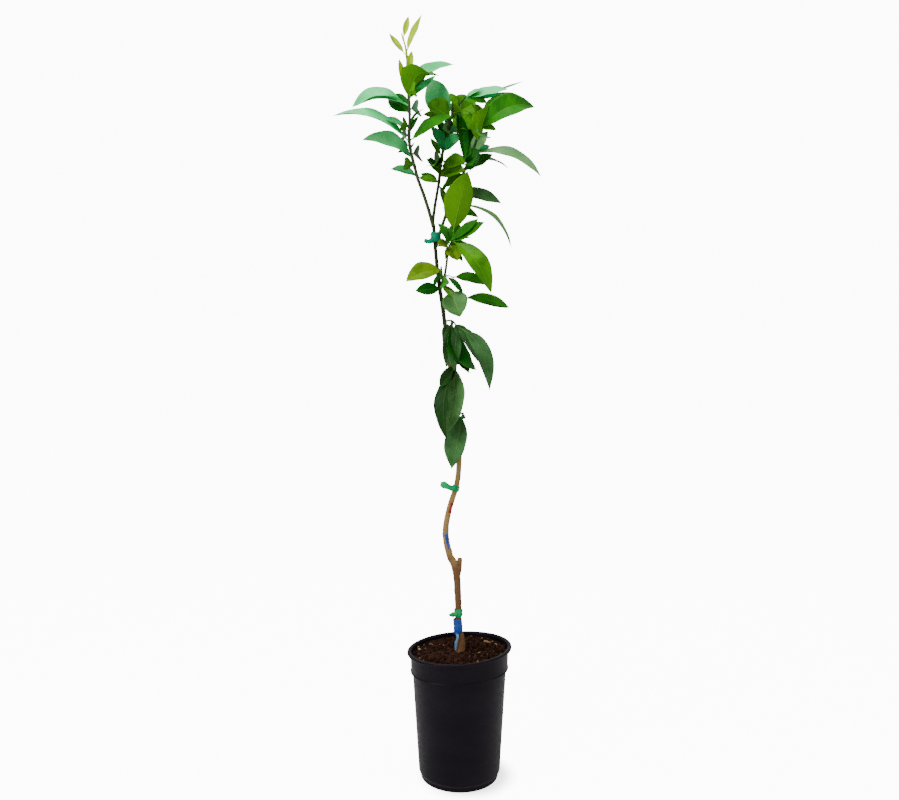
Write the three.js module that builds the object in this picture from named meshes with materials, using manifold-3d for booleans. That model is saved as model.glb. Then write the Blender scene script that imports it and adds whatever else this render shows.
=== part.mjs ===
// A young navelina orange tree, grafted low on a slim stem, in a round nursery pot.
// Lengths are millimetres and angles are degrees. +X is right, +Y is back and +Z is up. The origin is the
// middle of the pot's flat underside.
import * as THREE from "three";
import { mergeVertices } from "three/addons/utils/BufferGeometryUtils.js";
import Module from "manifold-3d";

const wasm = await Module();
wasm.setup();

// Pot and soil
const POT_HEIGHT = 230;
const RIM_RADIUS = 95;
const LIP_HEIGHT = 5;
const COLLAR_RADIUS = 88.5;
const COLLAR_HEIGHT = 38;
const STEP_IN = 3.5;
const BASE_RADIUS = 73;
const FOOT_RADIUS = 70;
const FOOT_HEIGHT = 8;
const WALL = 2;
const FLOOR = 3;
const RIM_LEAN = 0.06;
const DRAIN_HOLES = 6;
const DRAIN_RADIUS = 5;
const DRAIN_RING = 50;
const SOIL_DROP = 8;
const POT_SIDES = 36;

// Clear space left between neighbouring pieces
const GAP = 0.3;

// Limbs run through [right, back, up, diameter]. The first trunk point is its flat cut in the soil.
const TRUNK = [
  [2, 0, 221, 18], [3, 0, 245, 13], [-1, 0, 262, 12], [-2, 0, 282, 12], [-2, 0, 304, 12], [-4, 0, 350, 13], [-8, 0, 379, 15],
  [-18, 0, 398, 12.5], [-25, -1, 440, 11.5], [-18, 1, 483, 10.5], [-4, 2, 530, 10], [0, 1, 590, 9.6],
  [-4, -1, 645, 9.2], [-15, 0, 726, 8.8], [-28, 1, 830, 7.8], [-40, 0, 917, 7.2], [-47, 0, 997, 6.6],
];
const GRAFT_STUB = [[-5, 0, 352, 10], [-1, 0, 372, 11], [1, 0, 392, 9]];
const BOUGHS = {
  bough_left: [[-47, 0, 996, 6], [-62, -2, 1045, 5.8], [-75, -4, 1080, 5.6]],
  bough_centre: [[-49, 1, 1003, 5.4], [-44, 8, 1040, 5.2], [-38, 14, 1078, 5]],
  bough_right: [[-43, 0, 960, 5.6], [-34, 2, 990, 5.4], [-23, 2, 1023, 5.2]],
  bough_low_right: [[-35, 0, 880, 4.4], [-27, -6, 905, 4.2], [-23, -10, 930, 4], [-21, -14, 951, 4]],
};

// Every leaf is [place on its shoot from 0 to 1, turn, rise, length, width, arch, roll, twist]. Turn is its
// heading round the upright axis, from right towards back, and rise is its climb above level. Arch is how far
// its midrib stands off its chord as a share of its length. Roll turns the blade about the chord, and twist
// is how much more it turns from foot to tip. A mass keeps to the box `space`, and `behind` is how many
// leaves the seeded rule tries on the back of a shoot.
const MASSES = {
  foliage_left: {
    space: [[-140, -60, 1075], [-75, 80, 1300]],
    shoots: [
      {
        path: [[-75, -4, 1080, 5.4], [-87, -8, 1126, 5], [-91, -11, 1154, 4.8], [-90, -14, 1200, 4.2],
          [-94, -13, 1258, 3.6], [-96, -11, 1309, 3], [-104, -9, 1341, 2.2]],
        behind: 7,
        leaves: [
          [0.02, 165, 20, 55, 22, 0.1, -55, 0],
          [0.02, 343, -18, 43, 18, 0, 60, 0],
          [0.15, 193, 16, 95, 42, 0.18, -60, 0],
          [0.21, 325, 50, 15, 6, 0, 0, 0],
          [0.26, 186, 17, 143, 42, 0.15, -40, 0],
          [0.27, 339, 22, 90, 52, 0, 50, 0],
          [0.34, 38, 55, 56, 14, 0.1, 0, 0],
          [0.45, 158, 42, 56, 36, 0.05, -70, 0],
          [0.5, 172, 2, 106, 44, 0.2, -45, -60],
          [0.52, 312, 24, 71, 57, 0.44, 0, 0],
          [0.66, 26, 29, 107, 34, 0.07, 45, 0],
          [0.58, 197, 74, 60, 22, -0.08, -50, 0],
          [0.72, 31, 78, 46, 14, 0, 80, 0],
          [0.85, 166, 53, 56, 10, -0.04, -60, 0],
          [0.88, 344, 65, 69, 18, -0.02, 60, 0],
          [0.97, 34, 76, 46, 9, 0, 60, 0],
          [0.1, 255, -12, 58, 24, 0.05, 75, 0],
          [0.36, 262, -14, 62, 26, 0.05, 70, 0],
          [0.6, 283, -18, 66, 26, 0.05, -75, 0],
          [0.18, 84, 17, 90, 34, 0.06, 80, 0],
          [0.3, 100, 19, 94, 36, 0.06, -80, 0],
          [0.48, 82, 21, 88, 34, 0.06, 80, 0],
        ],
      },
    ],
  },
  foliage_centre: {
    space: [[-56, -60, 1070], [14, 90, 1240]],
    shoots: [
      {
        path: [[-38, 14, 1078, 4.8], [-32, 18, 1128, 4.4], [-24, 20, 1168, 3.8], [-17, 16, 1194, 3.2],
          [-5, 10, 1216, 2], [10, 4, 1232, 1.8]],
        behind: 4,
        leaves: [
          [0.1, 326, -2, 56, 42, 0.05, 60, 0],
          [0.15, 225, 20, 36, 34, 0, -50, 0],
          [0.2, 332, 0, 56, 38, 0.05, 62, 0],
          [0.3, 155, 59, 46, 12, 0.05, -60, 0],
          [0.36, 216, 57, 50, 38, 0.05, -75, 0],
          [0.36, 342, 38, 48, 32, 0.05, 70, 0],
          [0.5, 60, 72, 52, 30, 0, 80, 0],
          [0.66, 150, 68, 102, 50, 0.05, -75, 0],
          [0.75, 205, 18, 52, 48, 0.05, -75, 0],
          [0.72, 70, 66, 48, 44, 0.05, 80, 0],
          [0.78, 30, 34, 60, 54, 0, 75, 0],
          [0.86, 4, -73, 108, 42, 0.05, 70, 0],
          [0.74, 345, -26, 52, 42, 0.05, 70, 0],
          [1, 351, 8, 80, 34, 0, 50, 0],
          [1, 352, 13, 111, 7, -0.03, 60, 0],
          [0.25, 275, -14, 60, 26, 0.05, 75, 0],
          [0.6, 262, -16, 66, 30, 0.05, -70, 0],
          [0.97, 346, -12, 46, 26, 0.08, 60, 0],
          [0.25, 100, 18, 92, 36, 0.08, 40, 0],
          [0.82, 98, 22, 92, 36, 0.08, -40, 0],
          [0.2, 262, -17, 84, 32, 0.06, 30, 0],
          [0.8, 282, -21, 86, 34, 0.06, -30, 0],
        ],
      },
    ],
  },
  foliage_right: {
    space: [[2, -80, 1000], [62, 80, 1105]],
    shoots: [
      {
        path: [[-23, 2, 1023, 5], [-8, 0, 1059, 4.6], [12, -6, 1103, 4], [30, -8, 1148, 3.4], [43, -8, 1191, 2.6]],
        behind: 6,
        leaves: [
          [0.02, 20, -8, 62, 26, 0.1, 60, 0],
          [0.08, 10, -33, 138, 30, 0.2, 15, 0],
          [0.2, 7, -10, 89, 34, 0.08, 60, 0],
          [0.44, 8, 32, 62, 36, 0, 50, 0],
          [0.5, 30, 5, 92, 16, 0.15, 30, 0],
          [0.62, 353, -20, 134, 36, 0.165, 45, 0],
          [0.62, 350, 52, 50, 34, 0, 65, 0],
          [0.7, 250, -65, 56, 30, 0.05, -20, 0],
          [0.75, 316, 62, 66, 50, 0, 10, 0],
          [0.95, 209, 55, 43, 22, 0, -40, 0],
          [0.86, 5, 25, 112, 54, 0.26, 68, 0],
          [0.6, 270, -14, 64, 28, 0.05, 70, 0],
          [0.85, 258, -18, 62, 28, 0.05, -70, 0],
          [0.45, 78, 18, 94, 38, 0.08, -40, 0],
          [0.78, 82, 21, 96, 36, 0.08, 40, 0],
          [0.5, 276, -18, 88, 34, 0.06, 30, 0],
        ],
      },
      {
        path: [[-23, 2, 1023, 3], [-29, 4, 1044, 2.6], [-34, 4, 1058, 2]],
        behind: 0,
        leaves: [[0.95, 330, 50, 36, 16, 0, 60, 0]],
      },
    ],
  },
  foliage_low_right: {
    space: [[-26, -60, 890], [22, 60, 1010]],
    shoots: [
      {
        path: [[-21, -14, 951, 3.8], [-14, -17, 966, 3.4], [-12, -16, 983, 2.8]],
        behind: 4,
        leaves: [
          [0.2, 237, -60, 30, 22, 0, 60, 0],
          [0.15, 225, 2, 30, 26, 0.05, -55, 0],
          [0.2, 18, -46, 37, 18, 0, 60, 0],
          [0.26, 303, -52, 40, 34, 0.05, 30, 0],
          [0.33, 215, 50, 44, 28, 0, -70, 0],
          [0.4, 346, 29, 70, 34, 0, 62, 0],
          [0.44, 29, 70, 40, 28, 0, 75, 0],
          [0.5, 344, -53, 121, 44, 0.17, 50, 0],
          [0.95, 312, 69, 109, 58, 0.02, -22, 0],
          [0.6, 275, -10, 60, 26, 0.05, 70, 0],
          [0.5, 92, 13, 94, 36, 0.08, 40, 0],
          [0.25, 100, 10, 84, 32, 0.08, -40, 0],
        ],
      },
    ],
  },
  foliage_front: {
    space: [[-55, -60, 845], [20, 60, 905]],
    shoots: [
      {
        path: [[-34, -1, 882, 3.4], [-31, -12, 897, 3.2], [-33, -10, 919, 2.8]],
        behind: 2,
        leaves: [
          [0.02, 195, -7, 48, 26, 0.03, -75, 0],
          [0.2, 330, -44, 44, 18, 0.05, 40, 0],
          [0.77, 152, -55, 30, 18, 0, -60, 0],
          [0.91, 202, -20, 72, 42, 0.12, -55, 0],
          [0.3, 285, -8, 56, 24, 0.05, 75, 0],
          [0.5, 98, 9, 86, 32, 0.08, 50, 0],
        ],
      },
      {
        path: [[-31, -12, 893, 2.2], [-16, -14, 879, 2], [2, -12, 865, 1.6]],
        behind: 2,
        leaves: [
          [0.5, 308, -63, 57, 50, 0.05, 45, 0],
          [1, 5, -11, 91, 24, 0.12, 65, 0],
        ],
      },
      {
        path: [[-32, -12, 903, 2], [-22, -12, 905, 1.8], [-12, -11, 902, 1.4]],
        behind: 0,
        leaves: [[0.3, 335, -46, 52, 13, 0.12, 45, 0], [0.95, 4, -12, 65, 26, 0.1, 60, 0]],
      },
    ],
  },
  foliage_hanging: {
    space: [[-34, -60, 690], [24, 60, 815]],
    shoots: [
      {
        path: [[-27, 1, 824, 3], [-13, -10, 823, 2.6], [-3, -12, 810, 2]],
        behind: 2,
        leaves: [
          [0.45, 232, -80, 86, 34, 0.05, -60, 0],
          [0.55, 307, -53, 113, 52, -0.26, 0, 0],
          [0.95, 341, -62, 129, 32, 0.4, 55, 0],
        ],
      },
    ],
  },
  leaf_middle: {
    space: [[-60, -60, 600], [30, 10, 760]],
    shoots: [
      {
        path: [[-16, 0, 742, 3], [-5, -9, 745, 2.6]],
        behind: 0,
        leaves: [[0.95, 212, -80, 131, 64, -0.04, -30, 0]],
      },
    ],
  },
  leaf_low: {
    space: [[-40, -60, 540], [40, 10, 670]],
    shoots: [
      {
        path: [[-4, -1, 655, 3], [6, -10, 656, 2.6]],
        behind: 0,
        leaves: [[0.95, 211, -77, 102, 49, -0.02, -30, 0]],
      },
    ],
  },
};

// Leaf form: shares of the blade's length where it is drawn, and the fold of its halves
const BLADE_STATIONS = [0, 0.12, 0.3, 0.5, 0.7, 0.88, 1];
const FOLD = 20;
const PETIOLE_HALF_WIDTH = 1;
const THICKNESS_SHARE = 1 / 80;
const LEAST_THICKNESS = 0.8;

// Leaves behind a shoot: headings either side of straight back, climbs, lengths, and how near a limb they come
const BEHIND = { spread: [6, 34], rise: [6, 26], length: [58, 96], widthShare: 0.42, arch: 0.12, roll: [35, 65] };
const LIMB_CLEARANCE = 5;

// Soft ties round the stem. Tails and knots run through [right, back, up, diameter] from the middle of the tie.
const TIE_THICKNESS = 1.6;
const TIES = {
  tie_top: { level: 976, height: 18, shift: 2.5, extra: 4.5,
    tails: [[[-5, -7, -5, 8], [-13, -8, -9, 9], [-21, -7, -6, 6]]] },
  tie_upper: { level: 645, height: 8, shift: 0, extra: 0, tails: [[[5, 2, 0, 6], [10, 2, 0, 7.5], [15, 1, -1, 6]]] },
  tie_middle: { level: 519, height: 10, shift: 0, extra: 0,
    tails: [[[-2, -7, -1, 10], [-13, -8, 3, 11], [-22, -7, 7, 12], [-28, -6, 8, 10]]] },
  tie_low: { level: 293, height: 13, shift: 0, extra: 0, tails: [[[-3, -7, -1, 10], [-10, -8, -2, 9], [-17, -7, -3, 5]]] },
};

// The tape sleeve low on the stem, and its loose end
const SLEEVE = { from: 255, to: 282, thickness: 2.2, shift: -1.2 };
const SLEEVE_TAIL = [[-5, -6, 258, 4], [-3, -9, 250, 5], [-6, -9, 240, 4.6], [-7, -8, 226, 3]];

const radians = (degrees) => (degrees * Math.PI) / 180;
const vector = ([x, y, z]) => new THREE.Vector3(x, y, z);
const mix = (a, b, t) => a + (b - a) * t;

// A closed skin through rings of equally many points, each ring turning right-handed round the way along.
function loft(rings) {
  const size = rings[0].length;
  const index = [];
  for (let i = 0; i + 1 < rings.length; i++) {
    for (let j = 0; j < size; j++) {
      const [a, b] = [i * size + j, i * size + ((j + 1) % size)];
      index.push(a, b, b + size, a, b + size, a + size);
    }
  }
  const last = (rings.length - 1) * size;
  for (let j = 1; j + 1 < size; j++) {
    index.push(0, j + 1, j, last, last + j, last + j + 1);
  }
  const geometry = new THREE.BufferGeometry();
  geometry.setAttribute("position", new THREE.Float32BufferAttribute(rings.flat().flatMap((p) => p.toArray()), 3));
  geometry.setIndex(index);
  return geometry;
}

function solidOf(geometry) {
  geometry.deleteAttribute("normal");
  geometry.deleteAttribute("uv");
  const merged = mergeVertices(geometry);
  const triangles = [];
  for (let i = 0; i < merged.index.count; i += 3) {
    const [a, b, c] = [0, 1, 2].map((k) => merged.index.getX(i + k));
    if (a !== b && b !== c && c !== a) triangles.push(a, b, c);
  }
  return new wasm.Manifold(new wasm.Mesh({
    numProp: 3,
    vertProperties: new Float32Array(merged.attributes.position.array),
    triVerts: new Uint32Array(triangles),
  }));
}

function geometryOf(solid) {
  const mesh = solid.getMesh();
  const geometry = new THREE.BufferGeometry();
  geometry.setAttribute("position", new THREE.BufferAttribute(mesh.vertProperties, 3));
  geometry.setIndex(new THREE.BufferAttribute(mesh.triVerts, 1));
  geometry.computeVertexNormals();
  return geometry;
}

// The smooth line through a limb's points: where it is, its way along, and its radius at a share from 0 to 1.
function lineOf(points) {
  const curve = new THREE.CatmullRomCurve3(points.map(vector), false, "catmullrom", 0.5);
  return {
    at: (t) => curve.getPoint(t),
    atLength: (share) => curve.getPointAt(share),
    along: (t) => curve.getTangent(t),
    radius: (t) => {
      const place = t * (points.length - 1);
      const i = Math.min(Math.floor(place), points.length - 2);
      return mix(points[i][3], points[i + 1][3], place - i) / 2;
    },
    spans: points.length - 1,
  };
}

// A round limb along its points, or the space that it needs when `extra` is added all round and at its ends.
function limb(points, sides, ringsPerSpan, extra = 0) {
  const line = lineOf(points);
  const count = line.spans * ringsPerSpan;
  const rings = [];
  for (let i = 0; i <= count; i++) {
    const t = i / count;
    const along = line.along(t);
    const side = new THREE.Vector3(0, 1, 0).cross(along).normalize();
    const front = along.clone().cross(side);
    const end = i === 0 ? -extra : i === count ? extra : 0;
    const middle = line.at(t).addScaledVector(along, end);
    const radius = line.radius(t) + extra;
    rings.push(Array.from({ length: sides }, (_, j) => {
      const angle = (2 * Math.PI * j) / sides;
      return middle.clone()
        .addScaledVector(side, radius * Math.cos(angle))
        .addScaledVector(front, radius * Math.sin(angle));
    }));
  }
  return solidOf(loft(rings));
}

// Half the blade's width at a share of its length, for a blade one wide: a long oval, fullest before its middle.
const bladeHalfWidth = (s) => 0.5 * Math.sin(Math.PI * s ** 0.9) ** 0.8;

// A leaf in one piece with its petiole. Its section is a slim kite whose two halves fold up from the midrib.
function leaf(foot, [, turn, rise, length, width, arch, roll, twist]) {
  const heading = new THREE.Vector3(Math.cos(radians(turn)), Math.sin(radians(turn)), 0);
  const up = new THREE.Vector3(0, 0, 1);
  const [sine, cosine] = [Math.sin(radians(rise)), Math.cos(radians(rise))];
  const chord = heading.clone().multiplyScalar(cosine).addScaledVector(up, sine);
  const face = heading.clone().multiplyScalar(-sine).addScaledVector(up, cosine);
  const bend = face.clone().applyAxisAngle(chord, radians(roll));
  const tip = foot.clone().addScaledVector(chord, length);
  const middle = foot.clone().addScaledVector(chord, length / 2).addScaledVector(bend, 2 * arch * length);
  const midrib = new THREE.QuadraticBezierCurve3(foot, middle, tip);
  const petiole = THREE.MathUtils.clamp(0.5 - (1.4 * width) / length, 0.08, 0.34);
  const thickness = Math.max(LEAST_THICKNESS, length * THICKNESS_SHARE);
  const stations = [0, ...BLADE_STATIONS.map((s) => mix(petiole, 1, s))];
  return solidOf(loft(stations.map((t) => {
    const s = Math.max(0, (t - petiole) / (1 - petiole));
    const half = Math.max(PETIOLE_HALF_WIDTH * (1 - 0.6 * s), width * bladeHalfWidth(s));
    const along = midrib.getTangent(t);
    const normal = face.clone().applyAxisAngle(chord, radians(roll + twist * (t - 0.5)));
    normal.addScaledVector(along, -normal.dot(along)).normalize();
    const side = along.clone().cross(normal);
    const centre = midrib.getPoint(t);
    const out = half * Math.cos(radians(FOLD));
    const lift = half * Math.sin(radians(FOLD));
    return [
      centre.clone().addScaledVector(normal, thickness / 2),
      centre.clone().addScaledVector(side, out).addScaledVector(normal, lift),
      centre.clone().addScaledVector(normal, -thickness / 2),
      centre.clone().addScaledVector(side, -out).addScaledVector(normal, lift),
    ];
  })));
}

// A repeatable run of numbers from 0 to 1.
function seeded(seed) {
  let state = seed;
  return () => {
    state = (Math.imul(state, 1664525) + 1013904223) >>> 0;
    return state / 2 ** 32;
  };
}

// Rows for the leaves behind a shoot, dealt along it in turn to either side of straight back.
function rowsBehind(count, random) {
  return Array.from({ length: count }, (_, i) => {
    const side = i % 2 ? 1 : -1;
    const place = (i + 0.3 + 0.4 * random()) / count;
    const turn = 90 + side * mix(...BEHIND.spread, random());
    const rise = mix(...BEHIND.rise, random());
    const length = mix(...BEHIND.length, random());
    const roll = -side * mix(...BEHIND.roll, random());
    return [place, turn, rise, length, length * BEHIND.widthShare, BEHIND.arch, roll, 0];
  });
}

// Whether a leaf's straight run from foot to tip keeps to its mass's box and well clear of every limb.
function fits(foot, [, turn, rise, length], [low, high]) {
  const level = Math.cos(radians(rise));
  const way = new THREE.Vector3(
    level * Math.cos(radians(turn)), level * Math.sin(radians(turn)), Math.sin(radians(rise)));
  return [0.4, 0.6, 0.8, 1].every((t) => {
    const point = foot.clone().addScaledVector(way, length * t);
    const inside = point.toArray().every((value, axis) => value > low[axis] && value < high[axis]);
    return inside && limbPoints.every(([middle, radius]) => point.distanceTo(middle) > radius + LIMB_CLEARANCE);
  });
}

const limbs = { trunk: TRUNK, ...BOUGHS };
const limbPoints = Object.values(limbs).flatMap((points) => {
  const line = lineOf(points);
  return Array.from({ length: 81 }, (_, i) => [line.at(i / 80), line.radius(i / 80)]);
});
const trunkSpaces = [limb(TRUNK, 10, 3, GAP), limb(GRAFT_STUB, 8, 2, GAP)];
const limbSpaces = [...trunkSpaces, ...Object.values(BOUGHS).map((points) => limb(points, 8, 3, GAP))];

const clearOf = (solid, spaces) => spaces.reduce((rest, space) => rest.subtract(space), solid);

function foliage({ space, shoots }, random) {
  let mass = null;
  for (const { path, behind, leaves } of shoots) {
    const line = lineOf(path);
    const shoot = limb(path, 5, 2);
    mass = mass ? mass.add(shoot) : shoot;
    const grown = rowsBehind(behind, random).filter((row) => fits(line.atLength(row[0]), row, space));
    for (const row of [...leaves, ...grown]) {
      mass = mass.add(leaf(line.atLength(row[0]), row));
    }
  }
  return clearOf(mass, limbSpaces);
}

// A skin turned round the upright axis through [radius, height] points, from the axis out and back to it.
// It leans as the pot does: higher to the right, and more so towards the rim.
function turned(points, shift = () => 0) {
  const profile = points.map(([radius, height]) => new THREE.Vector2(radius, height));
  const geometry = new THREE.LatheGeometry(profile, POT_SIDES).rotateX(Math.PI / 2);
  const places = geometry.attributes.position;
  for (let i = 0; i < places.count; i++) {
    const [x, y, z] = [places.getX(i), places.getY(i), places.getZ(i)];
    places.setZ(i, z + shift(x, y, z) + RIM_LEAN * x * (z / POT_HEIGHT) ** 2);
  }
  return solidOf(geometry);
}

function pot() {
  const underCollar = POT_HEIGHT - COLLAR_HEIGHT;
  const wallTop = COLLAR_RADIUS - 1 - STEP_IN;
  let solid = turned([
    [0, 0], [FOOT_RADIUS, 0], [FOOT_RADIUS, FOOT_HEIGHT - 1], [BASE_RADIUS, FOOT_HEIGHT + 4],
    [wallTop, underCollar - 1], [COLLAR_RADIUS - 1.6, underCollar], [COLLAR_RADIUS - 1, underCollar + 1],
    [COLLAR_RADIUS, POT_HEIGHT - LIP_HEIGHT - 1], [RIM_RADIUS - 1, POT_HEIGHT - LIP_HEIGHT],
    [RIM_RADIUS, POT_HEIGHT - LIP_HEIGHT + 1.2], [RIM_RADIUS, POT_HEIGHT - 1.6], [RIM_RADIUS - 1.4, POT_HEIGHT - 0.2],
    [RIM_RADIUS - 4, POT_HEIGHT], [COLLAR_RADIUS - WALL + 1, POT_HEIGHT - 0.6],
    ...wallInside(0), [0, FLOOR],
  ]);
  for (let i = 0; i < DRAIN_HOLES; i++) {
    const angle = (2 * Math.PI * i) / DRAIN_HOLES;
    const hole = new THREE.CylinderGeometry(DRAIN_RADIUS, DRAIN_RADIUS, 3 * FLOOR, 12).rotateX(Math.PI / 2);
    hole.translate(DRAIN_RING * Math.cos(angle), DRAIN_RING * Math.sin(angle), FLOOR / 2);
    solid = solid.subtract(solidOf(hole));
  }
  return solid;
}

// The inside of the pot's wall from its rim down to its floor, drawn in by `inset`.
const wallInside = (inset) => [
  [COLLAR_RADIUS - WALL - inset, POT_HEIGHT - 3], [COLLAR_RADIUS - 1 - WALL - inset, POT_HEIGHT - COLLAR_HEIGHT + 2],
  [COLLAR_RADIUS - 1 - STEP_IN - WALL - inset, POT_HEIGHT - COLLAR_HEIGHT - 2],
  [BASE_RADIUS - WALL - inset, FOOT_HEIGHT + 5], [FOOT_RADIUS - WALL - inset, FOOT_HEIGHT],
  [FOOT_RADIUS - WALL - inset, FLOOR + (inset ? GAP : 0)],
];

// Potting soil: crumbly on top, and a little clear of the pot and of the trunk's foot.
function soil() {
  const level = POT_HEIGHT - SOIL_DROP;
  const [, ...below] = wallInside(1.5 * GAP).reverse();
  const edge = COLLAR_RADIUS - WALL - 1.5 * GAP - 0.4;
  const walls = [[FOOT_RADIUS - WALL - 1.5 * GAP, FLOOR + GAP], ...below.slice(0, -1), [edge, level - 1.5]];
  const crumbs = (x, y, z) => (z < level - 2 ? 0 : 0.9 * Math.sin(x * 0.21 + 1) * Math.cos(y * 0.17) - 0.4);
  const solid = turned([[0, FLOOR + GAP], ...walls, [66, level], [44, level - 0.5], [22, level], [0, level]], crumbs);
  return clearOf(solid, trunkSpaces);
}

// Where the trunk's middle line passes a height.
function trunkAt(level) {
  const line = lineOf(TRUNK);
  let [low, high] = [0, 1];
  for (let i = 0; i < 30; i++) {
    const middle = (low + high) / 2;
    if (line.at(middle).z < level) low = middle;
    else high = middle;
  }
  return { middle: line.at(low), along: line.along(low), radius: line.radius(low) };
}

// A soft band round the trunk over a height, thinner at its edges.
function band(level, height, thickness, shift) {
  const { middle, along, radius } = trunkAt(level);
  const rings = [[-0.5, 0.4], [-0.3, 1], [0.3, 1], [0.5, 0.4]];
  const points = rings.map(([share, fullness]) => {
    const point = middle.clone().addScaledVector(along, share * height);
    return [point.x + shift, point.y, point.z, 2 * (radius + GAP + thickness * fullness)];
  });
  return limb(points, 12, 1);
}

function tie({ level, height, shift, extra, tails }) {
  const { middle } = trunkAt(level);
  let solid = band(level, height, TIE_THICKNESS + extra, shift);
  for (const tail of tails) {
    solid = solid.add(limb(tail.map(([x, y, z, diameter]) => [
      middle.x + shift + x, middle.y + y, middle.z + z, diameter]), 6, 2));
  }
  return clearOf(solid, limbSpaces);
}

function sleeve() {
  const { from, to, thickness, shift } = SLEEVE;
  const cover = band((from + to) / 2, to - from, thickness, shift);
  return clearOf(cover.add(limb(SLEEVE_TAIL, 6, 2)), limbSpaces);
}

const group = new THREE.Group();
function addPiece(name, solid, color, roughness) {
  const material = new THREE.MeshStandardMaterial({ color, roughness, metalness: 0 });
  const mesh = new THREE.Mesh(geometryOf(solid), material);
  mesh.name = name;
  group.add(mesh);
}

addPiece("pot", pot(), 0x1b191e, 0.4);
addPiece("soil", soil(), 0x3a2a1e, 0.95);
addPiece("trunk", limb(TRUNK, 10, 3).add(limb(GRAFT_STUB, 8, 2)), 0x8a6a3a, 0.8);
const passed = [...trunkSpaces];
for (const [name, points] of Object.entries(BOUGHS)) {
  addPiece(name, clearOf(limb(points, 8, 3), passed), 0x3c5a24, 0.7);
  passed.push(limb(points, 8, 3, GAP));
}
const random = seeded(7);
for (const [name, mass] of Object.entries(MASSES)) {
  addPiece(name, foliage(mass, random), 0x3d8f1e, 0.45);
}
for (const [name, form] of Object.entries(TIES)) {
  addPiece(name, tie(form), 0x00a564, 0.5);
}
addPiece("tape_sleeve", sleeve(), 0x1450aa, 0.45);

export default group;
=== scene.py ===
"""A young navelina orange tree in its nursery pot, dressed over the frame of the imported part.

The tables are in millimetres and degrees, and finished meshes are in metres. +X is right, +Y is back, +Z is up,
and the origin is the middle of the pot's flat underside.
"""
import math

import bpy
import numpy as np
from bpy.props import FloatProperty, FloatVectorProperty, IntProperty, PointerProperty
from bpy.types import Operator, Panel, PropertyGroup
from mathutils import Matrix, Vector


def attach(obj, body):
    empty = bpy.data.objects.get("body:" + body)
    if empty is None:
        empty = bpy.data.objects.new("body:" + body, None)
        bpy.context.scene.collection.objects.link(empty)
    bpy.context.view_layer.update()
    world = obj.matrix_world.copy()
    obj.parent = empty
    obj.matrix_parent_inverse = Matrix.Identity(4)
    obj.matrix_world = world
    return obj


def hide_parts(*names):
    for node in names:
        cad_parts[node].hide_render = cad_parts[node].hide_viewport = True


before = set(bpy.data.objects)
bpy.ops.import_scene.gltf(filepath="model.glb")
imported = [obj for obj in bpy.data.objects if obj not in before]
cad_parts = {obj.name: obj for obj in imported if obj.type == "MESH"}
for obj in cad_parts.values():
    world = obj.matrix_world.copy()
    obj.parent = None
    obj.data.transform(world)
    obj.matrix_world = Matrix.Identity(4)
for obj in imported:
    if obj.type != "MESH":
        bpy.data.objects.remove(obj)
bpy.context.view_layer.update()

bl_info = {
    "name": "Potted navelina orange tree",
    "version": (1, 0, 0),
    "blender": (4, 5, 0),
    "location": "3D View > Sidebar > Orange tree",
    "description": "Builds a grafted young orange tree with its nursery pot, soil, leaves and ties",
    "category": "Add Mesh",
}

MM = 0.001
UP = np.array([0.0, 0.0, 1.0])
BACK = np.array([0.0, 1.0, 0.0])

# Limbs run through [right, back, up, diameter]
TRUNK = (
    (2, 0, 221, 18), (3, 0, 245, 13), (-1, 0, 262, 12), (-2, 0, 282, 12), (-2, 0, 304, 12), (-4, 0, 350, 13),
    (-8, 0, 379, 15), (-18, 0, 398, 12.5), (-25, -1, 440, 11.5), (-18, 1, 483, 10.5), (-4, 2, 530, 10),
    (0, 1, 590, 9.6), (-4, -1, 645, 9.2), (-15, 0, 726, 8.8), (-28, 1, 830, 7.8), (-40, 0, 917, 7.2),
    (-47, 0, 997, 6.6),
)
GRAFT_STUB = ((-5, 0, 352, 10), (-1, 0, 372, 11), (1, 0, 392, 9))
BOUGHS = {
    "bough_left": ((-47, 0, 996, 6), (-62, -2, 1045, 5.8), (-75, -4, 1080, 5.6)),
    "bough_centre": ((-49, 1, 1003, 5.4), (-44, 8, 1040, 5.2), (-38, 14, 1078, 5)),
    "bough_right": ((-43, 0, 960, 5.6), (-34, 2, 990, 5.4), (-23, 2, 1023, 5.2)),
    "bough_low_right": ((-35, 0, 880, 4.4), (-27, -6, 905, 4.2), (-23, -10, 930, 4), (-21, -14, 951, 4)),
}

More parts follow.
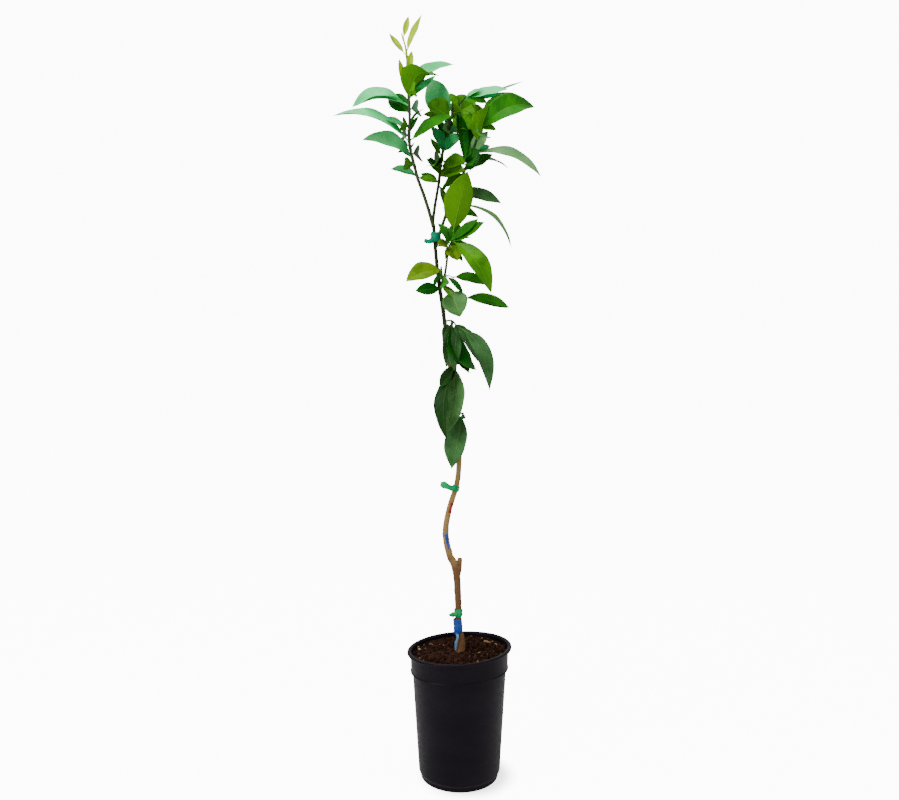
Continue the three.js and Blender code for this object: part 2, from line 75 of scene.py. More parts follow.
# A leaf is (place on its shoot from 0 to 1, turn, rise, length, width, arch, roll, twist, kind). Turn is its
# heading round the upright axis, from right towards back, and rise its climb above level. Arch is how far its
# midrib stands off its chord as a share of its length. Roll turns the blade about the chord, and twist is how
# much more it turns from foot to tip. `behind` is how many leaves the seeded rule tries on a shoot's back,
# inside the box `space`. `finer` are small leaves that fill a shoot out between its main ones.
MASSES = {
    "foliage_left": {"space": ((-140, -60, 1075), (-75, 80, 1300)), "shoots": (
        {"path": ((-75, -4, 1080, 5.4), (-87, -8, 1126, 5), (-91, -11, 1154, 4.8), (-90, -14, 1200, 4.2),
                  (-94, -13, 1258, 3.6), (-96, -11, 1309, 3), (-104, -9, 1341, 2.2)), "behind": 7,
         "leaves": (
            (0.02, 165, 20, 55, 22, 0.1, -55, 0, "jade"), (0.02, 343, -18, 43, 18, 0, 60, 0, "fresh"),
            (0.15, 193, 16, 95, 42, 0.18, -60, 0, "jade"), (0.21, 325, 50, 15, 6, 0, 0, 0, "fresh"),
            (0.26, 186, 17, 143, 42, 0.15, -40, 0, "silver"), (0.27, 339, 22, 90, 52, 0, 50, 0, "mid"),
            (0.34, 38, 55, 56, 14, 0.1, 0, 0, "mid"), (0.45, 158, 42, 56, 36, 0.05, -70, 0, "deep"),
            (0.5, 172, 2, 106, 44, 0.2, -45, -60, "silver"), (0.52, 312, 24, 71, 57, 0.44, 0, 0, "fresh"),
            (0.66, 26, 29, 107, 34, 0.07, 45, 0, "silver"), (0.58, 197, 74, 60, 22, -0.08, -50, 0, "flush"),
            (0.72, 31, 78, 46, 14, 0, 80, 0, "flush"), (0.85, 166, 53, 56, 13, -0.04, -60, 0, "flush"),
            (0.88, 344, 65, 69, 23, -0.02, 60, 0, "flush"), (0.97, 34, 76, 46, 12, 0, 60, 0, "flush"),
            (0.1, 255, -12, 58, 24, 0.05, 75, 0, "mid"), (0.36, 262, -14, 62, 26, 0.05, 70, 0, "mid"),
            (0.6, 283, -18, 66, 26, 0.05, -75, 0, "fresh"), (0.18, 84, 17, 90, 34, 0.06, 80, 0, "mid"),
            (0.3, 100, 19, 94, 36, 0.06, -80, 0, "deep"), (0.48, 82, 21, 88, 34, 0.06, 80, 0, "jade")
         ), "finer": (
            (0.56, 30, 47, 54, 26, 0.08, 60, 0, "mid"), (0.31, 15, 63, 40, 11, 0.05, 50, 0, "deep"),
            (0.6, 199, 73, 60, 14, -0.08, -95, 0, "flush"), (0.66, 22, 20, 66, 16, 0.12, 50, 0, "mid"),
            (0.5, 173, 3, 98, 22, 0.15, -45, -30, "silver"), (0.32, 182, 26, 60, 20, 0.12, -50, 0, "jade"),
            (0.15, 190, 36, 32, 14, 0, -60, 0, "deep"), (0.55, 5, 42, 66, 18, 0, 60, 0, "jade")
         )},
    )},
    "foliage_centre": {"space": ((-56, -60, 1070), (14, 90, 1240)), "shoots": (
        {"path": ((-38, 14, 1078, 4.8), (-32, 18, 1128, 4.4), (-24, 20, 1168, 3.8), (-17, 16, 1194, 3.2),
                  (-5, 10, 1216, 2), (10, 4, 1232, 1.8)), "behind": 4,
         "leaves": (
            (0.1, 326, -2, 56, 42, 0.05, 60, 0, "olive"), (0.15, 225, 20, 36, 34, 0, -50, 0, "deep"),
            (0.2, 332, 0, 56, 38, 0.05, 62, 0, "olive"), (0.3, 155, 59, 46, 12, 0.05, -60, 0, "olive"),
            (0.36, 216, 57, 50, 38, 0.05, -75, 0, "jade"), (0.36, 342, 38, 48, 32, 0.05, 70, 0, "jade"),
            (0.5, 60, 72, 52, 30, 0, 80, 0, "mid"), (0.66, 150, 68, 102, 50, 0.05, -75, 0, "jade"),
            (0.75, 205, 18, 52, 48, 0.05, -75, 0, "olive"), (0.72, 70, 66, 48, 44, 0.05, 80, 0, "fresh"),
            (0.78, 30, 34, 60, 54, 0, 75, 0, "olive"), (0.86, 4, -73, 108, 42, 0.05, 70, 0, "deep"),
            (0.74, 345, -26, 52, 42, 0.05, 70, 0, "fresh"), (1, 351, 8, 80, 34, 0, 50, 0, "silver"),
            (1, 352, 13, 111, 7, -0.03, 60, 0, "sage"), (0.25, 275, -14, 60, 26, 0.05, 75, 0, "deep"),
            (0.6, 262, -16, 66, 30, 0.05, -70, 0, "mid"), (0.97, 346, -12, 46, 26, 0.08, 60, 0, "mid"),
            (0.25, 100, 18, 92, 36, 0.08, 40, 0, "deep"), (0.82, 98, 22, 92, 36, 0.08, -40, 0, "mid"),
            (0.2, 262, -17, 84, 32, 0.06, 30, 0, "mid"), (0.8, 282, -21, 86, 34, 0.06, -30, 0, "olive")
         ), "finer": (
            (0.74, 186, 6, 52, 22, 0.05, -75, 0, "olive"), (0.54, 165, 63, 38, 16, 0.05, -70, 0, "deep"),
            (0.1, 195, 48, 38, 24, 0.05, -60, 0, "olive"), (0.93, 300, -82, 112, 20, 0.03, 20, 0, "deep"),
            (1, 350, 27, 34, 16, 0, 50, 0, "silver"), (0.88, 165, 62, 30, 16, 0.05, -75, 0, "olive"),
            (0.02, 165, 28, 40, 18, 0, -60, 0, "mid"), (1, 349, 3, 84, 18, -0.06, 50, 0, "silver")
         )},
    )},
    "foliage_right": {"space": ((2, -80, 1000), (62, 80, 1105)), "shoots": (
        {"path": ((-23, 2, 1023, 5), (-8, 0, 1059, 4.6), (12, -6, 1103, 4), (30, -8, 1148, 3.4), (43, -8, 1191, 2.6)),
         "behind": 6,
         "leaves": (
            (0.02, 20, -8, 62, 26, 0.1, 60, 0, "mid"), (0.08, 10, -33, 138, 30, 0.2, 15, 0, "sage"),
            (0.2, 7, -10, 89, 34, 0.08, 60, 0, "dull"), (0.44, 8, 32, 62, 36, 0, 50, 0, "mid"),
            (0.5, 30, 5, 92, 16, 0.15, 30, 0, "sage"), (0.62, 353, -20, 134, 36, 0.165, 45, 0, "sage"),
            (0.62, 350, 52, 50, 34, 0, 65, 0, "sage"), (0.7, 250, -65, 56, 30, 0.05, -20, 0, "deep"),
            (0.75, 316, 62, 66, 50, 0, 10, 0, "fresh"), (0.95, 209, 55, 43, 22, 0, -40, 0, "fresh"),
            (0.86, 5, 25, 112, 54, 0.26, 68, 0, "mid"), (0.6, 270, -14, 64, 28, 0.05, 70, 0, "deep"),
            (0.85, 258, -18, 62, 28, 0.05, -70, 0, "fresh"), (0.45, 78, 18, 94, 38, 0.08, -40, 0, "deep"),
            (0.78, 82, 21, 96, 36, 0.08, 40, 0, "mid"), (0.5, 276, -18, 88, 34, 0.06, 30, 0, "deep")
         ), "finer": (
            (0.42, 190, -37, 44, 20, 0.05, 60, 0, "deep"), (0.9, 340, -16, 31, 20, 0.05, 55, 0, "fresh"),
            (0.6, 8, 29, 42, 22, 0.05, 60, 0, "jade"), (0.95, 5, 50, 66, 24, 0.16, 62, 0, "mid"),
            (0.02, 170, 72, 48, 16, 0, 60, 0, "deep"), (0.95, 150, 70, 40, 22, 0, 70, 0, "mid")
         )},
        {"path": ((-23, 2, 1023, 3), (-29, 4, 1044, 2.6), (-34, 4, 1058, 2)), "behind": 0,
         "leaves": (
            (0.95, 330, 50, 36, 16, 0, 60, 0, "deep"),
         )},
    )},
    "foliage_low_right": {"space": ((-26, -60, 890), (22, 60, 1010)), "shoots": (
        {"path": ((-21, -14, 951, 3.8), (-14, -17, 966, 3.4), (-12, -16, 983, 2.8)), "behind": 4,
         "leaves": (
            (0.2, 237, -60, 30, 22, 0, 60, 0, "mid"), (0.15, 225, 2, 30, 26, 0.05, -55, 0, "yellow"),
            (0.2, 18, -46, 37, 18, 0, 60, 0, "deep"), (0.26, 303, -52, 40, 34, 0.05, 30, 0, "yellow"),
            (0.33, 215, 50, 44, 28, 0, -70, 0, "mid"), (0.4, 346, 29, 70, 34, 0, 62, 0, "mid"),
            (0.44, 29, 70, 40, 28, 0, 75, 0, "mid"), (0.5, 344, -53, 121, 44, 0.17, 50, 0, "olive"),
            (0.95, 312, 69, 109, 58, 0.02, -22, 0, "olive"), (0.6, 275, -10, 60, 26, 0.05, 70, 0, "mid"),
            (0.5, 92, 13, 94, 36, 0.08, 40, 0, "mid"), (0.25, 100, 10, 84, 32, 0.08, -40, 0, "deep")
         ), "finer": (
            (0.5, 350, 38, 62, 22, 0, 62, 0, "mid"), (0.5, 180, 63, 33, 14, 0, -70, 0, "mid")
         )},
    )},
    "foliage_front": {"space": ((-55, -60, 845), (20, 60, 905)), "shoots": (
        {"path": ((-34, -1, 882, 3.4), (-31, -12, 897, 3.2), (-33, -10, 919, 2.8)), "behind": 2,
         "leaves": (
            (0.02, 195, -7, 48, 26, 0.03, -75, 0, "deep"), (0.2, 330, -44, 44, 18, 0.05, 40, 0, "olive"),
            (0.77, 152, -55, 30, 18, 0, -60, 0, "deep"), (0.91, 202, -20, 72, 42, 0.12, -55, 0, "yellow"),
            (0.3, 285, -8, 56, 24, 0.05, 75, 0, "mid"), (0.5, 98, 9, 86, 32, 0.08, 50, 0, "mid")
         )},
        {"path": ((-31, -12, 893, 2.2), (-16, -14, 879, 2), (2, -12, 865, 1.6)), "behind": 2,
         "leaves": (
            (0.5, 308, -63, 57, 50, 0.05, 45, 0, "moss"), (1, 5, -11, 91, 24, 0.12, 65, 0, "mid")
         ), "finer": (
            (1, 5, -12, 88, 20, 0.07, 65, 0, "mid"),
         )},
        {"path": ((-32, -12, 903, 2), (-22, -12, 905, 1.8), (-12, -11, 902, 1.4)), "behind": 0,
         "leaves": (
            (0.3, 335, -46, 52, 13, 0.12, 45, 0, "deep"), (0.95, 4, -12, 65, 26, 0.1, 60, 0, "mid")
         )},
    )},
    "foliage_hanging": {"space": ((-34, -60, 690), (24, 60, 815)), "shoots": (
        {"path": ((-27, 1, 824, 3), (-13, -10, 823, 2.6), (-3, -12, 810, 2)), "behind": 2,
         "leaves": (
            (0.45, 232, -80, 86, 34, 0.05, -60, 0, "dull"), (0.55, 307, -53, 113, 52, -0.26, 0, 0, "deep"),
            (0.95, 341, -62, 129, 32, 0.4, 55, 0, "dull")
         ), "finer": (
            (0.55, 304, -62, 108, 46, -0.16, 0, 0, "deep"), (0.9, 338, -58, 76, 26, 0.28, 55, 0, "dull"),
            (0.1, 280, -74, 66, 34, 0.05, -20, 0, "dull"), (0.7, 318, -50, 46, 24, 0.05, 35, 0, "dull"),
            (0.95, 248, -80, 80, 30, 0.05, 0, 0, "dull")
         )},
    )},
    "leaf_middle": {"space": ((-60, -60, 600), (30, 10, 760)), "shoots": (
        {"path": ((-16, 0, 742, 3), (-5, -9, 745, 2.6)), "behind": 0,
         "leaves": (
            (0.95, 212, -80, 131, 64, -0.04, -30, 0, "moss"),
         ), "finer": (
            # The two finer leaves here are painted shade: the darkest green stands in for their shade.
            (0.95, 230, -79, 138, 44, 0.12, 15, 0, "dusk"), (0.95, 200, -54, 54, 26, 0, -50, 0, "dusk")
         )},
    )},
    "leaf_low": {"space": ((-40, -60, 540), (40, 10, 670)), "shoots": (
        {"path": ((-4, -1, 655, 3), (6, -10, 656, 2.6)), "behind": 0,
         "leaves": (
            (0.95, 211, -77, 102, 49, -0.02, -30, 0, "dull"),
         )},
    )},
}

# Leaves behind a shoot: degrees to either side of straight back, climb, length and roll, each between two numbers
BEHIND = {"spread": (6, 34), "rise": (6, 26), "length": (58, 96), "width_share": 0.42, "arch": 0.12, "roll": (35, 65)}
KINDS_BEHIND = ("mid", "deep", "jade")
LIMB_CLEARANCE = 5
SEEDS = {"behind": 7, "shoots": 11, "crumbs": 21, "lumps": 22, "trunk": 31, "stub": 41, "boughs": 50}

# A leaf's grid across and along its blade, how far its halves fold up, the looks of its faces, and the height
# above which a shoot has the newest leaves' bark
ACROSS = np.array([-1, -0.86, -0.66, -0.44, -0.24, -0.08, 0, 0.08, 0.24, 0.44, 0.66, 0.86, 1.0])
ALONG = np.concatenate([[0.0, 0.02, 0.05, 0.1], np.linspace(0.17, 0.88, 13), [0.94, 0.98, 1.0]])
FOLD = math.radians(20)
UPPER, UNDER, STALK = 0, 1, 2
FLUSH_FROM = 1262

# Leaves that catch the sky have a painted sky reflection in their greens: they are bluer, less mottled and
# darker at the foot, a painted shade, than the rest. GLOSS is a roughness, and kinds that it leaves out have 0.36.
SKY_KINDS = ("silver", "jade", "sage")
GLOSS = {"silver": 0.34, "jade": 0.34, "sage": 0.38, "flush": 0.5, "yellow": 0.42, "dull": 0.6, "moss": 0.6}

# Ties: level, height, shift, slack round the stem, and tails through [right, back, up, width]
TIES = {
    "tie_top": (976, 18, 2.5, 4.5, ((-5, -7, -5, 8), (-13, -8, -9, 9), (-21, -7, -6, 6))),
    "tie_upper": (645, 8, 0, 0, ((5, 1, 1, 6), (10, -3, 4, 9), (14, -5, 6, 8))),
    "tie_middle": (519, 10, 0, 0, ((-2, -7, -1, 10), (-13, -8, 3, 11), (-22, -7, 7, 12), (-28, -6, 8, 10))),
    "tie_low": (293, 13, 0, 0, ((-3, -7, -1, 10), (-10, -8, -2, 9), (-17, -7, -3, 5))),
}
SLEEVE_TAIL = ((-5, -6, 258, 4), (-3, -9, 250, 5), (-6, -9, 240, 4.6), (-7, -8, 226, 3))

# Wood chips on the soil: right, back, length, heading, climb and thickness
CHIPS = (
    (-76, 24, 10, 80, 55, 2.2), (-73, 18, 7, 150, 10, 2.6), (52, 40, 12, 160, 8, 2.4), (60, 36, 9, 20, 15, 2.0),
    (68, 22, 8, 120, 5, 1.8), (35, -18, 7, 40, 12, 1.0), (-52, 44, 9, 170, 6, 1.3), (44, 62, 7, 75, 9, 1.5),
    (8, 48, 9, 140, 4, 1.1),
)

# Lights in metres: place, diameter and power, all aimed at the same spot
LIGHTS = {
    "overhead softbox": ((-0.5, -0.9, 3.0), 1.3, 44),
    "left softbox": ((-2.2, -1.4, 1.6), 1.0, 26),
    "right softbox": ((2.2, -0.9, 1.3), 1.6, 10),
}
LIGHT_AIM = (0, 0, 0.7)
FLOOR_REACH = 30


def linear(red, green, blue):
    """The light values of a display colour given from 0 to 255."""
    return tuple(((v / 255 + 0.055) / 1.055) ** 2.4 if v > 10 else v / 3294.6 for v in (red, green, blue))


def shaded(colour, share):
    """A colour's light values times a share."""
    return tuple(share * v for v in colour)


def toward(first, second, share):
    """The colour that lies at a share of the way from one to another."""
    return tuple((1 - share) * v + share * w for v, w in zip(first, second))


# Lines and skins ------------------------------------------------------------------------------------------


def unit(vectors):
    """Vectors over their own lengths."""
    return vectors / np.linalg.norm(vectors, axis=-1, keepdims=True)


def around(count):
    """So many angles, evenly round a turn."""
    return np.arange(count) * 2 * math.pi / count


def column(*values):
    """Numbers one under the other, to multiply a vector by each."""
    return np.array(values, float)[:, None]


def line_at(points, shares):
    """Places on the smooth line through a limb's points, at shares of its run of spans.

    Each span is the cubic that leaves a point half as far as its two neighbours lie apart, and the line is
    carried straight on past both ends.
    """
    p = np.asarray(points, float)[:, :3]
    p = np.vstack([2 * p[0] - p[1], p, 2 * p[-1] - p[-2]])
    place = np.clip(np.atleast_1d(shares), 0, 1) * (len(points) - 1)
    i = np.minimum(place.astype(int), len(points) - 2)
    w = (place - i)[:, None]
    a, b, c, d = p[i], p[i + 1], p[i + 2], p[i + 3]
    leave, arrive = (c - a) / 2, (d - b) / 2
    return b + leave * w + (3 * (c - b) - 2 * leave - arrive) * w**2 + (2 * (b - c) + leave + arrive) * w**3


def ways_at(points, shares):
    """The line's way along, as the step between two places a hair apart."""
    hair = 1e-4
    low, high = np.clip(np.atleast_1d(shares) - hair, 0, 1), np.clip(np.atleast_1d(shares) + hair, 0, 1)
    return unit(line_at(points, high) - line_at(points, low))


def radii_at(points, shares):
    """The limb's radius, straight from point to point."""
    sizes = np.asarray(points, float)[:, 3] / 2
    return np.interp(np.atleast_1d(shares) * (len(sizes) - 1), np.arange(len(sizes)), sizes)


def sampled(points, steps):
    """Shares, middles, ways and radii of a limb, at so many steps a span."""
    shares = np.linspace(0, 1, steps * (len(points) - 1) + 1)
    return shares, line_at(points, shares), ways_at(points, shares), radii_at(points, shares)


def share_of_length(points, share):
    """The share of spans at a share of the line's true length, by two hundred short steps."""
    steps = np.linspace(0, 1, 201)
    lengths = np.linalg.norm(np.diff(line_at(points, steps), axis=0), axis=1)
    lengths = np.concatenate([[0], np.cumsum(lengths)])
    return float(np.interp(share * lengths[-1], lengths, steps))


def spokes(ways, angles, flat=1.0):
    """Steps out from a line: the cosine to its side, and the sine times `flat` to its front."""
    side = unit(np.cross(BACK, ways))
    front = np.cross(ways, side)
    return np.cos(angles)[..., None] * side[..., None, :] + flat * np.sin(angles)[..., None] * front[..., None, :]


def cells(rows, columns, ring_rows=False):
    """Four-cornered faces between neighbouring rows of points, each row closed round, and the rows where asked."""
    i, j = np.meshgrid(np.arange(rows if ring_rows else rows - 1), np.arange(columns), indexing="ij")
    above, on = (i + 1) % rows, (j + 1) % columns
    return np.stack([i * columns + j, i * columns + on, above * columns + on, above * columns + j], -1).reshape(-1, 4)


def rough(points, size, seed):
    """Unevenness of -1 to 1: 2.6 times the mean of sixteen sine waves, one to two `size` long, in seeded ways."""
    waves = 16
    random = np.random.default_rng(seed)
    ways = unit(random.normal(size=(waves, 3))) / (size * random.uniform(1, 2, (waves, 1)))
    heights = np.sin(2 * math.pi * (points @ ways.T + random.uniform(0, 1, waves)))
    return np.clip(2.6 * heights.mean(-1), -1, 1)


class Skin:
    """Points, faces, surface places and look numbers of one piece, gathered shape by shape."""

    def __init__(self):
        self.points, self.faces, self.places, self.looks, self.count = [], [], [], [], 0

    def add(self, points, faces, look=0, places=None):
        """Adds points of any grid, faces counted from its first point, and one look or one a face."""
        points = np.asarray(points, float).reshape(-1, 3)
        self.points.append(points)
        self.faces.extend((np.asarray(faces) + self.count).tolist())
        self.places.append(np.zeros((len(points), 2)) if places is None else np.asarray(places).reshape(-1, 2))
        self.looks.append(np.broadcast_to(look, len(faces)))
        self.count += len(points)

    def capped(self, rings, look=0, places=None, end_look=None):
        """Adds rings of points as a closed skin, with one face over the first ring and one over the last."""
        first, (rows, sides) = self.count, rings.shape[:2]
        self.add(rings, cells(rows, sides), look, places)
        self.faces += [list(range(first + sides - 1, first - 1, -1)), list(range(self.count - sides, self.count))]
        ends = np.broadcast_to(look, (rows - 1) * sides)
        self.looks.append(np.array([ends[0], ends[-1] if end_look is None else end_look]))

    def tube(self, middles, ways, radii, sides, look=0, flat=1.0, end_look=None):
        """A closed round skin: rings square to the way along, at the radius times the spokes."""
        angles = around(sides)
        rings = middles[:, None] + np.reshape(radii, (len(middles), -1, 1)) * spokes(
            np.broadcast_to(ways, middles.shape), angles, flat)
        length = np.concatenate([[0], np.cumsum(np.linalg.norm(np.diff(middles, axis=0), axis=1))])
        places = np.stack(np.broadcast_arrays(angles / (2 * math.pi), length[:, None] * 0.01), -1)
        self.capped(rings, look, places, end_look)

    def piece(self, name, slot, nodes, materials):
        """The mesh object of all that was gathered, in metres, riding on the part and standing for its nodes."""
        mesh = bpy.data.meshes.new(name)
        mesh.from_pydata(np.vstack(self.points) * MM, [], self.faces)
        corners = np.zeros(len(mesh.loops), np.int32)
        mesh.loops.foreach_get("vertex_index", corners)
        places = mesh.uv_layers.new(name="place")
        places.data.foreach_set("uv", np.vstack(self.places)[corners].astype(np.float32).ravel())
        mesh.polygons.foreach_set("material_index", np.concatenate(self.looks).astype(np.int32))
        mesh.polygons.foreach_set("use_smooth", np.ones(len(mesh.polygons), bool))
        for finish in materials:
            mesh.materials.append(finish)
        mesh.validate()
        mesh.update()
        made = bpy.data.objects.new(name, mesh)
        bpy.context.scene.collection.objects.link(made)
        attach(made, "root")
        if nodes:
            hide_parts(*nodes)


# Materials ------------------------------------------------------------------------------------------------


def node(tree, kind, inputs=None, **settings):
    """A shader node with its settings, and each named input set to a value or joined to another's output."""
    made = tree.nodes.new(kind)
    for key, value in settings.items():
        setattr(made, key, value)
    for key, value in (inputs or {}).items():
        if isinstance(value, bpy.types.NodeSocket):
            tree.links.new(value, made.inputs[key])
        else:
            made.inputs[key].default_value = value
    return made


def calc(tree, operation, *values):
    """The outcome of a sum on sockets and numbers, in a tree."""
    return node(tree, "ShaderNodeMath", dict(enumerate(values)), operation=operation).outputs[0]


def times(tree, first, second):
    """The product of two sockets or numbers, in a tree."""
    return calc(tree, "MULTIPLY", first, second)


def blend(tree, share, first, second):
    """The colour at a share from the first to the second, each a socket or three numbers."""
    first, second = (v if isinstance(v, bpy.types.NodeSocket) else (*v, 1) for v in (first, second))
    return node(tree, "ShaderNodeMix", {0: share, 6: first, 7: second}, data_type="RGBA").outputs[2]


def between(tree, value, low, high, first=0.0, second=1.0):
    """The value eased from `first` to `second` as it goes from `low` to `high`."""
    return node(tree, "ShaderNodeMapRange", {"Value": value, "From Min": low, "From Max": high,
                "To Min": first, "To Max": second}, interpolation_type="SMOOTHSTEP").outputs["Result"]


def noise(tree, vector, scale, detail, roughness=0.5):
    """Smooth noise with a middle of a half, at so many lumps a metre."""
    return node(tree, "ShaderNodeTexNoise", {"Vector": vector, "Scale": scale, "Detail": detail,
                "Roughness": roughness}).outputs[0]


def group_tree(name, inputs, outputs):
    """An empty node group and what it is given. An input is named with its kind of socket, or a number to start at."""
    tree = bpy.data.node_groups.new(name, "ShaderNodeTree")
    for title, kind in inputs.items():
        number = isinstance(kind, float)
        made = "NodeSocketFloat" if number else f"NodeSocket{kind}"
        socket = tree.interface.new_socket(title, in_out="INPUT", socket_type=made)
        if number:
            socket.default_value = kind
    for title, kind in outputs.items():
        tree.interface.new_socket(title, in_out="OUTPUT", socket_type=f"NodeSocket{kind}")
    return tree, tree.nodes.new("NodeGroupInput").outputs


def grain_group():
    """Coarse blotches, fine grain and the two together as a height, at a size of so many blotches a metre."""
    if "plant grain" in bpy.data.node_groups:
        return bpy.data.node_groups["plant grain"]
    tree, given = group_tree("plant grain", {"Vector": "Vector", "Size": 40.0},
                             {"Blotches": "Float", "Grain": "Float", "Height": "Float"})
    coarse = noise(tree, given["Vector"], given["Size"], 3.0, 0.55)
    fine = noise(tree, given["Vector"], times(tree, given["Size"], 9.0), 4.0, 0.65)
    node(tree, "NodeGroupOutput", {
        "Blotches": between(tree, coarse, 0.35, 0.65), "Grain": between(tree, fine, 0.3, 0.7),
        "Height": calc(tree, "MULTIPLY_ADD", fine, 0.4, times(tree, coarse, 0.6))})
    return tree


def grain_at(tree, vector, size):
    """What the grain group gives at a place, in a tree."""
    return node(tree, "ShaderNodeGroup", {"Vector": vector, "Size": size}, node_tree=grain_group()).outputs


def leaf_group():
    """A blade's own pattern over its place: u across it and s along it.

    The midrib lies where u is 0.5. Side veins leave it every ninth of the blade and climb towards the tip by
    0.17 of its length times the 1.2th power of their way out. The skin swells between them, blotches, the
    blade's foot and its tip shade the green, and the margin is as pale as a faint vein.
    """
    if "leaf blade" in bpy.data.node_groups:
        return bpy.data.node_groups["leaf blade"]
    tree, given = group_tree(
        "leaf blade", {"Green": "Color", "Vein Green": "Color", "Shade Green": "Color", "Veins": 0.5,
                       "Foot Shade": 0.7, "Tip Shade": 0.0, "Mottling": 0.5, "Gloss": 0.35},
        {"Color": "Color", "Roughness": "Float", "Height": "Float"})
    where = node(tree, "ShaderNodeTexCoord").outputs
    place = node(tree, "ShaderNodeSeparateXYZ", {"Vector": where["UV"]}).outputs
    out = times(tree, calc(tree, "ABSOLUTE", calc(tree, "SUBTRACT", place["X"], 0.5)), 2.0)
    climb = times(tree, calc(tree, "POWER", out, 1.2), 0.17)
    run = calc(tree, "PINGPONG", times(tree, calc(tree, "SUBTRACT", place["Y"], climb), 9.0), 0.5)
    vein = times(tree, between(tree, run, 0.0, 0.09, 1.0, 0.0), between(tree, out, 0.75, 0.98, 0.6, 0.0))
    rib = between(tree, out, 0.02, 0.1, 1.0, 0.0)
    grain = grain_at(tree, where["Object"], 55.0)
    cloud = between(tree, noise(tree, where["Object"], 19.0, 1.0), 0.38, 0.62, 0.0, 0.6)
    mottle = times(tree, calc(tree, "MULTIPLY_ADD", grain["Blotches"], 0.4, cloud), given["Mottling"])
    foot = times(tree, between(tree, place["Y"], 0.0, 0.5, 1.0, 0.0), given["Foot Shade"])
    tip = times(tree, between(tree, place["Y"], 0.4, 0.95), given["Tip Shade"])
    shade = calc(tree, "MAXIMUM", mottle, calc(tree, "MAXIMUM", foot, tip))
    margin = times(tree, between(tree, out, 0.88, 0.97), 0.6)
    pale = calc(tree, "MAXIMUM", calc(tree, "MAXIMUM", vein, rib), margin)
    body = blend(tree, shade, given["Green"], given["Shade Green"])
    swell = times(tree, between(tree, run, 0.0, 0.4), 0.7)
    node(tree, "NodeGroupOutput", {
        "Color": blend(tree, times(tree, pale, given["Veins"]), body, given["Vein Green"]),
        "Roughness": calc(tree, "MULTIPLY_ADD", grain["Grain"], 0.12, given["Gloss"]),
        "Height": calc(tree, "SUBTRACT", calc(tree, "MULTIPLY_ADD", grain["Grain"], 0.15, swell), rib)})
    return tree


def material(name):
    """A cleared material and its tree."""
    made = bpy.data.materials.new(name)
    made.use_nodes = True
    made.node_tree.nodes.clear()
    return made, made.node_tree


def surface(tree, inputs, relief=None):
    """The material's surface shader. The relief is a height, its strength and its distance."""
    if relief:
        bump = node(tree, "ShaderNodeBump", dict(zip(("Height", "Strength", "Distance"), relief)))
        inputs = {**inputs, "Normal": bump.outputs["Normal"]}
    shader = node(tree, "ShaderNodeBsdfPrincipled", inputs)
    node(tree, "ShaderNodeOutputMaterial", {"Surface": shader.outputs[0]})


def leaf_material(name, green, vein, shade, sheen, numbers):
    """A blade's face: the leaf group's colour, gloss and relief on one shader."""
    made, tree = material(name)
    tones = {"Green": (*green, 1), "Vein Green": (*vein, 1), "Shade Green": (*shade, 1)}
    blade = node(tree, "ShaderNodeGroup", {**tones, **numbers}, node_tree=leaf_group()).outputs
    surface(tree, {"Base Color": blade["Color"], "Roughness": blade["Roughness"], "Specular IOR Level": sheen},
            (blade["Height"], 0.35, 0.0006))
    return made


def toned_material(name, first, second, size, roughness, relief, distance, stretch=(1, 1, 1), sheen=0.3,
                   tint=(1, 1, 1)):
    """A finish of two tones in blotches, with fine grain in its roughness and relief."""
    made, tree = material(name)
    where = node(tree, "ShaderNodeTexCoord").outputs["Object"]
    grain = grain_at(tree, node(tree, "ShaderNodeMapping", {"Vector": where, "Scale": stretch}).outputs[0], size)
    surface(tree, {
        "Base Color": blend(tree, grain["Blotches"], first, second), "Specular Tint": (*tint, 1),
        "Roughness": calc(tree, "MULTIPLY_ADD", grain["Grain"], 0.16, roughness - 0.08),
        "Specular IOR Level": sheen}, (grain["Height"], relief, distance))
    return made


def bark_material(look):
    """Bark whose colour changes up the stem: brown rootstock, tan scion, then green young wood.

    The height is shifted by blotches before it picks the colour, and long grain darkens the cracks.
    """
    made, tree = material("grafted stem bark")
    where = node(tree, "ShaderNodeTexCoord").outputs["Object"]
    drawn = node(tree, "ShaderNodeMapping", {"Vector": where, "Scale": (1, 1, 0.22)}).outputs[0]
    grain, spots = grain_at(tree, drawn, 160.0), grain_at(tree, where, 60.0)
    level = node(tree, "ShaderNodeSeparateXYZ", {"Vector": where}).outputs["Z"]
    level = calc(tree, "MULTIPLY_ADD", spots["Blotches"], 0.03, level)
    share = node(tree, "ShaderNodeMapRange", {"Value": level, "From Min": 0.22, "From Max": 1.02}).outputs["Result"]
    ramp = node(tree, "ShaderNodeValToRGB", {"Fac": share})
    tones = ramp.color_ramp.elements
    stops = ((0.0, look.rootstock), (0.215, look.rootstock), (0.25, look.scion), (0.62, look.scion),
             (0.78, look.young_wood), (1.0, look.young_wood))
    while len(tones) < len(stops):
        tones.new(0.5)
    for element, (place, tone) in zip(tones, stops):
        element.position, element.color = place, (*tone, 1)
    plain = ramp.outputs["Color"]
    darker = node(tree, "ShaderNodeHueSaturation", {"Value": 0.5, "Color": plain}).outputs["Color"]
    cracks = times(tree, between(tree, grain["Grain"], 0.55, 0.1), 0.75)
    # Darker where the long grain dips into cracks, and in blotches.
    darkening = calc(tree, "MAXIMUM", cracks, times(tree, spots["Blotches"], 0.35))
    surface(tree, {
        "Base Color": blend(tree, darkening, plain, darker), "Specular IOR Level": 0.15,
        "Roughness": calc(tree, "MULTIPLY_ADD", grain["Grain"], 0.2, 0.62)}, (grain["Height"], 0.6, 0.0008))
    return made


# Leaves and shoots ----------------------------------------------------------------------------------------


def seeded(seed):
    """A repeatable run of numbers from 0 to 1: times 1664525, plus 1013904223, within 32 bits."""
    state = seed
    while True:
        state = (state * 1664525 + 1013904223) & 0xFFFFFFFF
        yield state / 2**32


